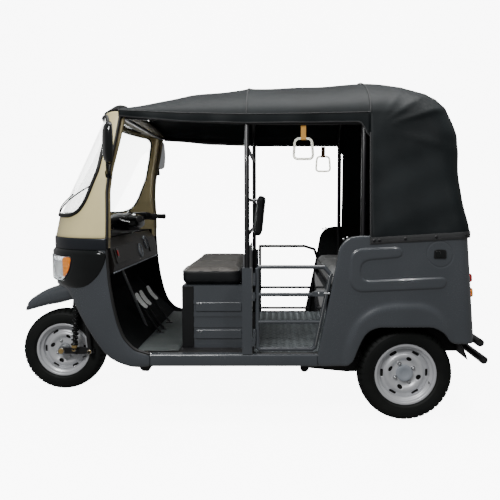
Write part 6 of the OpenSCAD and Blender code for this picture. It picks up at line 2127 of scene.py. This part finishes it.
@dataclass
class Fittings:
    """Small pieces of the cabin: pedals, hand grips, mirror glasses, latch, switches."""

    def pedals(self) -> None:
        """Three pedals: a bent arm each, with a ribbed pad on a curved plate."""
        parts = []
        for y in (-0.170, 0.040, 0.150):
            arm = rounded_path([(0.476, y, 0.388), (0.500, y, 0.412), (0.585, y, 0.540), (0.606, y, 0.572)], 0.03)
            parts.append((tube(arm, 0.0058, 12, up=(0, 1, 0)), TUBE_BLACK.material()))
            foot = soft_corners([(-0.020, -0.012), (0.020, -0.012), (0.020, 0.012), (-0.020, 0.012)], 0.006)
            parts.append((prism(foot, (0.480, y, 0.3765), (1, 0, 0), (0, 1, 0), 0.010), TUBE_BLACK.material()))
            u, v = np.meshgrid(np.linspace(-1, 1, 15), np.linspace(-1, 1, 61), indexing="ij")
            wide, high = 0.042 * (1 - 0.25 * v ** 4), 0.056 * (1 - 0.12 * u ** 4)
            bow = 0.006 * v ** 2 + 0.0012 * np.clip(np.sin(v * 26), 0, 1) * (np.abs(v) < 0.86)
            along, out = np.array([0.60, 0.0, 0.80]), np.array([-0.80, 0.0, 0.60])
            at = np.array([0.601, y, 0.574]) + out * 0.008
            pad = at + (u * wide)[..., None] * [0, 1, 0] + (v * high)[..., None] * along + bow[..., None] * out
            face = grid(pad)
            parts.append((face if faces_along(face, out) else face.turned(), PEDAL.material()))
        make("pedal_set", parts, "vehicle", replaces=["pedals"], thick=0.0022)

    def hand_grips(self) -> None:
        """Two hanging grips: a clear moulded ring on a stitched orange strap; the far strap is the same orange
        darkened to a painted shade.
        """
        b = HALF_WIDTH - 0.0643 - 0.004
        parts = []
        for x, y, strap_colour_and_shade in ((REAR_AXLE + 0.552, b, STRAP_NEAR), (REAR_AXLE + 0.352, -b, STRAP_FAR_PAINTED_SHADE)):
            ring = soft_corners([(-0.052, -0.053), (0.052, -0.053), (0.044, 0.053), (-0.044, 0.053)], 0.026, 7)
            path = np.column_stack([x + ring[:, 0], np.full(len(ring), y), 1.455 + ring[:, 1]])
            parts.append((tube(path, 0.0068, 14, closed=True, up=(0, 1, 0)), GRIP_CLEAR.material()))
            z = np.concatenate([np.linspace(1.500, 1.577, 14), np.linspace(1.577, 1.500, 14)])
            shift = np.concatenate([np.full(14, 0.0030), np.full(14, -0.0030)]) * np.concatenate(
                [np.linspace(2.6, 0.7, 14), np.linspace(0.7, 2.6, 14)])
            w = np.array([-0.0135, -0.012, 0.012, 0.0135])
            band = np.stack([np.broadcast_to(x + w, (28, 4)), np.broadcast_to((y + shift)[:, None], (28, 4)),
                             np.broadcast_to(z[:, None], (28, 4))], -1)
            parts.append((grid(band), strap_colour_and_shade.material()))
        make("hanging_grips", parts, "vehicle", replaces=["hand_grips"], thick=0.0012)

    def mirrors(self) -> None:
        """Two mirrors: a domed housing, a rimmed glass turned towards the driver, a jointed arm.

        Housing depth = d (1 - |u|^4)^0.4 (1 - |v|^4)^0.4 over a rounded plate (u, v).
        """
        turn = math.radians(27.0)
        # The near mirror gets the dark glass of painted shade, the far one a true mirror.
        for sign, glass, name in ((1.0, MIRROR_NEAR, "left"), (-1.0, MIRROR, "right")):
            at = np.array([0.6060, 0.7160, 1.4710] if sign > 0 else [0.6300, -0.7160, 1.5300])
            foot = 1.3200 if sign > 0 else 1.3950
            back = np.array([math.cos(turn), sign * math.sin(turn), 0.0])
            side = np.array([-math.sin(turn), sign * math.cos(turn), 0.0])
            u = np.sin(np.linspace(-np.pi / 2, np.pi / 2, 25))
            uu, vv = np.meshgrid(u, u, indexing="ij")
            wide = uu * np.sqrt(1 - 0.36 * vv ** 2) * 0.0600
            tall = vv * np.sqrt(1 - 0.30 * uu ** 2) * 0.1060
            deep = 0.034 * np.clip(1 - uu ** 4, 0, 1) ** 0.4 * np.clip(1 - vv ** 4, 0, 1) ** 0.4
            shell = grid(at + wide[..., None] * side + tall[..., None] * [0, 0, 1] + deep[..., None] * back)
            shell = shell if faces_along(shell, back) else shell.turned()
            face = np.stack([wide, tall], -1)
            loop = np.vstack([face[0, :-1], face[:-1, -1], face[-1, :0:-1], face[:0:-1, 0]]) * 0.985
            plate = prism(loop * 0.97, at - back * 0.0004, side, (0, 0, 1), 0.003)
            rim = at + loop[:, :1] * side + loop[:, 1:] * np.array([0.0, 0.0, 1.0])
            arm = rounded_path([at - [0, 0, 0.085] + back * 0.016, at - [0, 0, 0.120] + back * 0.016,
                                (0.6360, sign * 0.6620, foot), (0.6400, sign * 0.5850, foot - 0.010)], 0.016)
            knuckle = lathe([(0.0001, 0.020), (0.0125, 0.018), (0.0145, 0.012), (0.0145, -0.012),
                             (0.0125, -0.018), (0.0001, -0.020)][::-1],
                            (0.6360, sign * 0.6560, foot), (0.0, 0.25, 1.0), 20)
            make(f"{name}_mirror", [(shell, GLOSS_BLACK.material()), (plate, glass.material()),
                                    (tube(rim, 0.0028, 8, closed=True, up=tuple(back)), SEAL.material()),
                                    (tube(arm, 0.0080, 14), TUBE_BLACK.material()),
                                    (knuckle, PLASTIC.material())],
                 "vehicle", replaces=["mirrors"])

    def gate_parts(self) -> None:
        """Hinge knuckles, sliding bolt and release rod of the gate."""
        parts = []
        for z in (0.480, 0.775):
            for dz in (-0.022, 0.0, 0.022):
                parts.append((lathe([(0.0035, -0.010), (0.0085, -0.010), (0.0085, 0.010), (0.0035, 0.010)],
                                    (-0.1135, 0.6500, z + dz), (0, 0, 1), 20, closed=True), BODY.material()))
        rod = rounded_path([(-0.5180, 0.6500, 0.812), (-0.5060, 0.6510, 0.790), (-0.4330, 0.6510, 0.425)], 0.02)
        parts.append((tube(rod, 0.0032, 10, up=(0, 1, 0)), STEEL.material()))
        bolt = tube([(-0.420, 0.6500, 0.7000), (-0.508, 0.6500, 0.7000)], 0.0050, 14)
        knob = lathe([(0.0001, 0.018), (0.0062, 0.016), (0.0070, 0.010), (0.0045, 0.006), (0.0040, 0.0)][::-1],
                     (-0.450, 0.6420, 0.7000), (0, 1, 0.15), 16)
        plate = prism(soft_corners([(-0.032, -0.014), (0.032, -0.014), (0.032, 0.014), (-0.032, 0.014)], 0.004),
                      (-0.458, 0.6475, 0.700), (1, 0, 0), (0, 0, 1), 0.002)
        parts += [(bolt, STEEL.material()), (knob, STEEL.material()), (plate, DULL_STEEL.material())]
        make("gate_fittings", parts, "gate", shell=True, bevel=0.0006)

    def small_parts(self) -> None:
        """Backrest brackets, rivets of the quarter panel, seat-box screws and bumper caps."""
        parts = []
        for z in (1.000, 1.190):
            for y in (-0.15, 0.15):
                parts.append((tube([(-0.086, y, z), (-0.110, y, z + 0.002)], 0.0075, 14), STEEL.material()))
        dome = [(0.0060, 0.0), (0.0056, 0.0020), (0.0035, 0.0034), (0.0001, 0.0038)]
        for x, z in ((REAR_AXLE + 0.345, 0.985), (REAR_AXLE + 0.325, 0.992)):
            parts += both_sides(lathe(dome, (x, HALF_WIDTH, z), (0, 1, 0), 12), STEEL)
        for x in (0.184, 0.200):
            for z in (0.470, 0.622):
                parts += both_sides(lathe(dome, (x, 0.5058, z), (0, 1, 0), 12), DULL_STEEL)
        cap = [(0.0001, 0.010), (0.0160, 0.009), (0.0205, 0.006), (0.0212, 0.0), (0.0212, -0.012)][::-1]
        for x, z in ((-1.3190, 0.426), (-1.3405, 0.332)):
            parts += both_sides(lathe(cap, (x, 0.5905, z), (0, 1, 0), 28), SEAL)
        make("small_fastenings", parts, "vehicle")

    def seat_box_ribs(self) -> None:
        """Two broad pressed ribs and a black corner strip on each side face of the seat box."""
        bar = soft_corners([(-0.127, -0.025), (0.127, -0.025), (0.127, 0.025), (-0.127, 0.025)], 0.010, 5)
        parts = []
        for z in (0.452, 0.604):
            parts += both_sides(prism(bar, (0.0880, 0.4995, z), (1, 0, 0), (0, 0, 1), -0.0065), BODY)
        strip = prism(np.array([(0.2250, 0.3800), (0.2885, 0.3800), (0.2885, 0.7190), (0.2250, 0.7190)]),
                      (0.0, 0.4990, 0.0), (1, 0, 0), (0, 0, 1), -0.0078)
        make("seat_box_ribs", parts + both_sides(strip, PLASTIC), "vehicle", shell=True,
             bevel=0.0026)

    def fascia_parts(self) -> None:
        """Glove lids, red switch, two round sockets and the lower edge strip of the fascia.

        They lie on its sloped rear face, x = 0.633 + (z - 0.840) 22 / 90.
        """
        up = np.array([22.0, 0.0, 90.0]) / math.hypot(22.0, 90.0)
        out = np.array([-up[2], 0.0, up[0]])
        lid = soft_corners([(-0.104, -0.042), (0.104, -0.042), (0.104, 0.040), (-0.104, 0.040)], 0.014, 6)
        at = np.array([0.6435, 0.425, 0.884])
        parts = both_sides(prism(lid, at + out * 0.0005, (0, 1, 0), up, -0.005), FASCIA)
        rocker = soft_corners([(-0.012, -0.020), (0.012, -0.020), (0.012, 0.020), (-0.012, 0.020)], 0.004)
        spot = at + [0.0, 0.062, 0.0] + up * 0.014 + out * 0.005
        parts.append((prism(rocker * 1.35, spot, (0, 1, 0), up, -0.003), GLOSS_BLACK.material()))
        parts.append((prism(rocker * 0.8, spot + out * 0.003, (0, 1, 0), up, -0.004), RED_PLASTIC.material()))
        socket = [(0.0001, 0.0012), (0.0270, 0.0014), (0.0290, 0.0075), (0.0330, 0.0085), (0.0365, 0.0060),
                  (0.0370, -0.002)][::-1]
        socket = [(r * 1.25, h) for r, h in socket]
        for y, z in ((-0.065, 0.872), (-0.255, 0.912)):
            point = (0.633 + (z - 0.840) * 22 / 90, y, z)
            parts.append((lathe(socket, point, out, 40), CAP_GREY.material()))
            parts.append((lathe([(0.0330, 0.0), (0.0325, 0.0030), (0.0001, 0.0022)], point, out, 40),
                          GLOSS_BLACK.material()))
        strip = tube([(0.6385, -0.578, 0.7990), (0.6385, 0.578, 0.7990)], 0.0045, 12)
        strut = tube([(0.672, 0.300, 0.800), (0.559, 0.100, 0.377)], 0.0085, 14)
        make("fascia_fittings", parts + [(strip, CAP_GREY.material())], "vehicle",
             shell=True, bevel=0.001)
        make("footwell_strut", [(strut, DULL_STEEL.material())], "vehicle", shell=True)

    def roof_tubes(self) -> None:
        """Roof frame: the solid's tubes, with front uprights that follow the curved door edge; the uprights carry the
        beige darkened to a painted shade.

        Upright = door edge less a step that grows with height, x = d(z) - .006 - .008 s((z - 1.3) / .3).
        """
        solid = bpy.data.objects["roof_frame"].data
        verts = np.empty(3 * len(solid.vertices), np.float32)
        solid.vertices.foreach_get("co", verts)
        verts = verts.reshape(-1, 3).astype(float)
        corners = np.empty(len(solid.loops), np.int32)
        solid.loops.foreach_get("vertex_index", corners)
        faces = corners.reshape(-1, 3)
        straight = (verts[:, 0] > 0.50) & (verts[:, 2] < 1.60)
        z = np.linspace(0.990, 1.628, 40)
        rows = np.array(Screen.levels)
        line = np.column_stack([np.interp(z, rows[:, 0], rows[:, 1]) - 0.006 - 0.008 * ramp((z - 1.3) / 0.3),
                                np.interp(z, rows[:, 0], rows[:, 3]) - 0.026, z])
        # Front uprights in the beige darkened to a painted shade.
        make("roof_frame_tubes",
             [(Shape(verts, [faces[~straight[faces].any(1)]]), TUBE_BLACK.material())]
             + both_sides(tube(line, 0.0105, 16, up=(0, 1, 0)), BEIGE_PAINTED_SHADE), "vehicle",
             replaces=["roof_frame"], sharp=35, weld=2e-5)

    def cab_ceiling(self) -> None:
        """Ceiling behind the screen, the lining colour darkened further to a painted shade: z = z0 + rise (1 - (y /
        b)^2), its front edge along the glass.
        """
        y = np.linspace(-0.535, 0.535, 31)
        front = 0.581 + 0.169 * (1 - (np.abs(y) / 0.562) ** 2.2) ** (1 / 2.2)
        x = 0.560 + np.linspace(0, 1, 6)[:, None] * (front - 0.560)
        z = np.broadcast_to(1.638 + 0.030 * (1 - (y / 0.535) ** 2), x.shape)
        panel = grid(np.stack([x, np.broadcast_to(y, x.shape), z], -1))
        make("cab_ceiling", [(panel, CEILING_PAINTED_SHADE.material())], "vehicle", thick=0.003)

    def arm_pivots(self) -> None:
        """Pivot tubes of the trailing arms, each with a flat disc and bolt just inside the sill."""
        disc = [(0.0001, 0.0075), (0.0085, 0.0075), (0.0090, 0.0015), (0.0215, 0.0010), (0.0235, -0.001),
                (0.0235, -0.012), (0.0150, -0.013), (0.0150, -0.205), (0.0001, -0.205)][::-1]
        make("arm_pivots", both_sides(lathe(disc, (-0.380, 0.590, 0.2885), (0, 1, 0), 32), CHASSIS), "vehicle",
             shell=True)

    def build(self) -> None:
        """Makes all of the small pieces."""
        self.seat_box_ribs()
        self.fascia_parts()
        self.roof_tubes()
        self.cab_ceiling()
        self.arm_pivots()
        self.pedals()
        self.hand_grips()
        self.mirrors()
        self.gate_parts()
        self.small_parts()


# Studio.

@dataclass(frozen=True)
class Studio:
    """Pale floor, soft lights and the camera at the photograph's viewing angle."""

    eye: tuple[float, float, float] = (-0.216, 3.70, 1.165)
    pitch: float = 4.44
    focal: float = 42.4
    shift: float = -0.048
    sky: float = 0.20
    sky_seen: float = 9.0
    floor_glow: float = 8.0

    def camera(self) -> None:
        """Camera that looks along -Y with a slight downward tilt."""
        data = bpy.data.cameras.new("photo_view")
        data.lens = self.focal
        data.sensor_width = 36.0
        data.shift_x = self.shift
        obj = bpy.data.objects.new("photo_view", data)
        obj.location = self.eye
        obj.rotation_euler = (math.radians(90.0 - self.pitch), 0.0, math.pi)
        bpy.context.scene.collection.objects.link(obj)
        bpy.context.scene.camera = obj

    def floor(self) -> None:
        """Pale floor that sweeps up behind the vehicle in an arc, with a faint mottle."""
        arc = np.linspace(0, np.pi / 2, 24)
        side = np.concatenate([[[9.0, 0.0], [2.0, 0.0], [-1.0, 0.0]],
                               np.column_stack([-2.2 - 3.0 * np.sin(arc), 3.0 - 3.0 * np.cos(arc)]),
                               [[-5.2, 9.0]]])
        x = np.linspace(-16, 16, 9)
        points = np.stack([np.broadcast_to(x[:, None], (9, len(side))),
                           np.broadcast_to(side[:, 0], (9, len(side))),
                           np.broadcast_to(side[:, 1] - 0.0005, (9, len(side)))], -1)
        shape = grid(points)
        shape = shape if faces_along(shape, (0, 0.5, 1)) else shape.turned()
        mesh = bpy.data.meshes.new("studio_floor")
        mesh.from_pydata(shape.verts.tolist(), [], shape.faces[0].tolist())
        mesh.polygons.foreach_set("use_smooth", np.ones(len(mesh.polygons), bool))
        obj = bpy.data.objects.new("studio_floor", mesh)
        bpy.context.scene.collection.objects.link(obj)
        pale = Finish("studio_floor_pale", (0.90, 0.90, 0.90), 0.7, vary=0.005, scuff=0.0, dust=0.0)
        made = pale.material()
        shader = made.node_tree.nodes["Principled BSDF"]
        shader.inputs["Emission Color"].default_value = (1.0, 1.0, 1.0, 1.0)
        shader.inputs["Emission Strength"].default_value = self.floor_glow
        mesh.materials.append(made)
        obj.visible_glossy = False
        obj.visible_diffuse = False
        obj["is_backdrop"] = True

    def light(self, name: str, at: Sequence[float], aim: Sequence[float], size: tuple[float, float],
              watts: float) -> None:
        """Rectangular soft light.

        Args:
            name: name of the light.
            at: where it stands.
            aim: the point it looks at.
            size: width and height.
            watts: its power.
        """
        data = bpy.data.lights.new(name, "AREA")
        data.shape = "RECTANGLE"
        data.size, data.size_y = size
        data.energy = watts
        obj = bpy.data.objects.new(name, data)
        obj.location = at
        obj.rotation_euler = (Vector(aim) - Vector(at)).to_track_quat("-Z", "Y").to_euler()
        bpy.context.scene.collection.objects.link(obj)

    def build(self) -> None:
        """Sets up floor, sky, lights and camera."""
        self.floor()
        world = bpy.data.worlds.new("studio")
        bpy.context.scene.world = world
        world.use_nodes = True
        sky = world.node_tree.nodes["Background"]
        sky.inputs["Color"].default_value = (1.0, 1.0, 1.0, 1.0)
        tree = Tree(world.node_tree)
        seen = tree.node("ShaderNodeLightPath").outputs["Is Camera Ray"]
        strength = tree.maths("ADD", tree.maths("MULTIPLY", seen, self.sky_seen - self.sky), self.sky)
        world.node_tree.links.new(strength, sky.inputs["Strength"])
        self.light("key_left", (1.6, 4.6, 4.4), (0.0, 0.0, 0.8), (2.0, 1.0), 175.0)
        self.light("top_soft", (-0.2, 0.6, 5.2), (-0.1, 0.2, 0.0), (4.2, 2.2), 250.0)
        self.light("glint_rear", (-1.5, 2.6, 3.4), (-0.9, 0.6, 0.5), (0.14, 0.10), 26.0)
        self.light("glint_front", (1.5, 3.2, 3.0), (0.8, 0.4, 0.8), (0.14, 0.10), 26.0)
        self.light("wall_soft", (0.0, -1.6, 5.6), (0.0, -5.0, 1.0), (7.0, 1.6), 200.0)
        self.camera()


def report_sizes(before: tuple[Vector, Vector]) -> None:
    """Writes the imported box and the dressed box, each as two corners."""
    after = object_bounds()
    rows = {"cad": [list(c) for c in before], "visual": [list(c) for c in after]}
    for key, (lo, hi) in rows.items():
        LOG.info("%s box %s to %s", key, np.round(lo, 4), np.round(hi, 4))


def main() -> None:
    """Loads the frame, builds every sub-assembly over it and dresses them."""
    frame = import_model()
    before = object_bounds()
    dress_frame(frame)
    Hood().build()
    RearShell().build()
    Nose().build()
    Screen().build()
    Mudguard().build()
    Floor().build()
    for cushion in seats():
        cushion.build()
    Handlebar().build()
    FrontSprings().build()
    Fittings().build()
    for wheel in (
            Wheel("left", (REAR_AXLE, 0.545, AXLE_Z), 1.0, "left_wheel"),
            Wheel("right", (REAR_AXLE, -0.545, AXLE_Z), -1.0, "right_wheel"),
            Wheel("front", (FRONT_AXLE, 0.0, AXLE_Z), 1.0, "front_wheel", hub=0.034)):
        wheel.build()
    Studio().build()
    report_sizes(before)


if __name__ == "__main__":
    logging.basicConfig(level=logging.INFO, format="%(name)s: %(message)s")
    main()
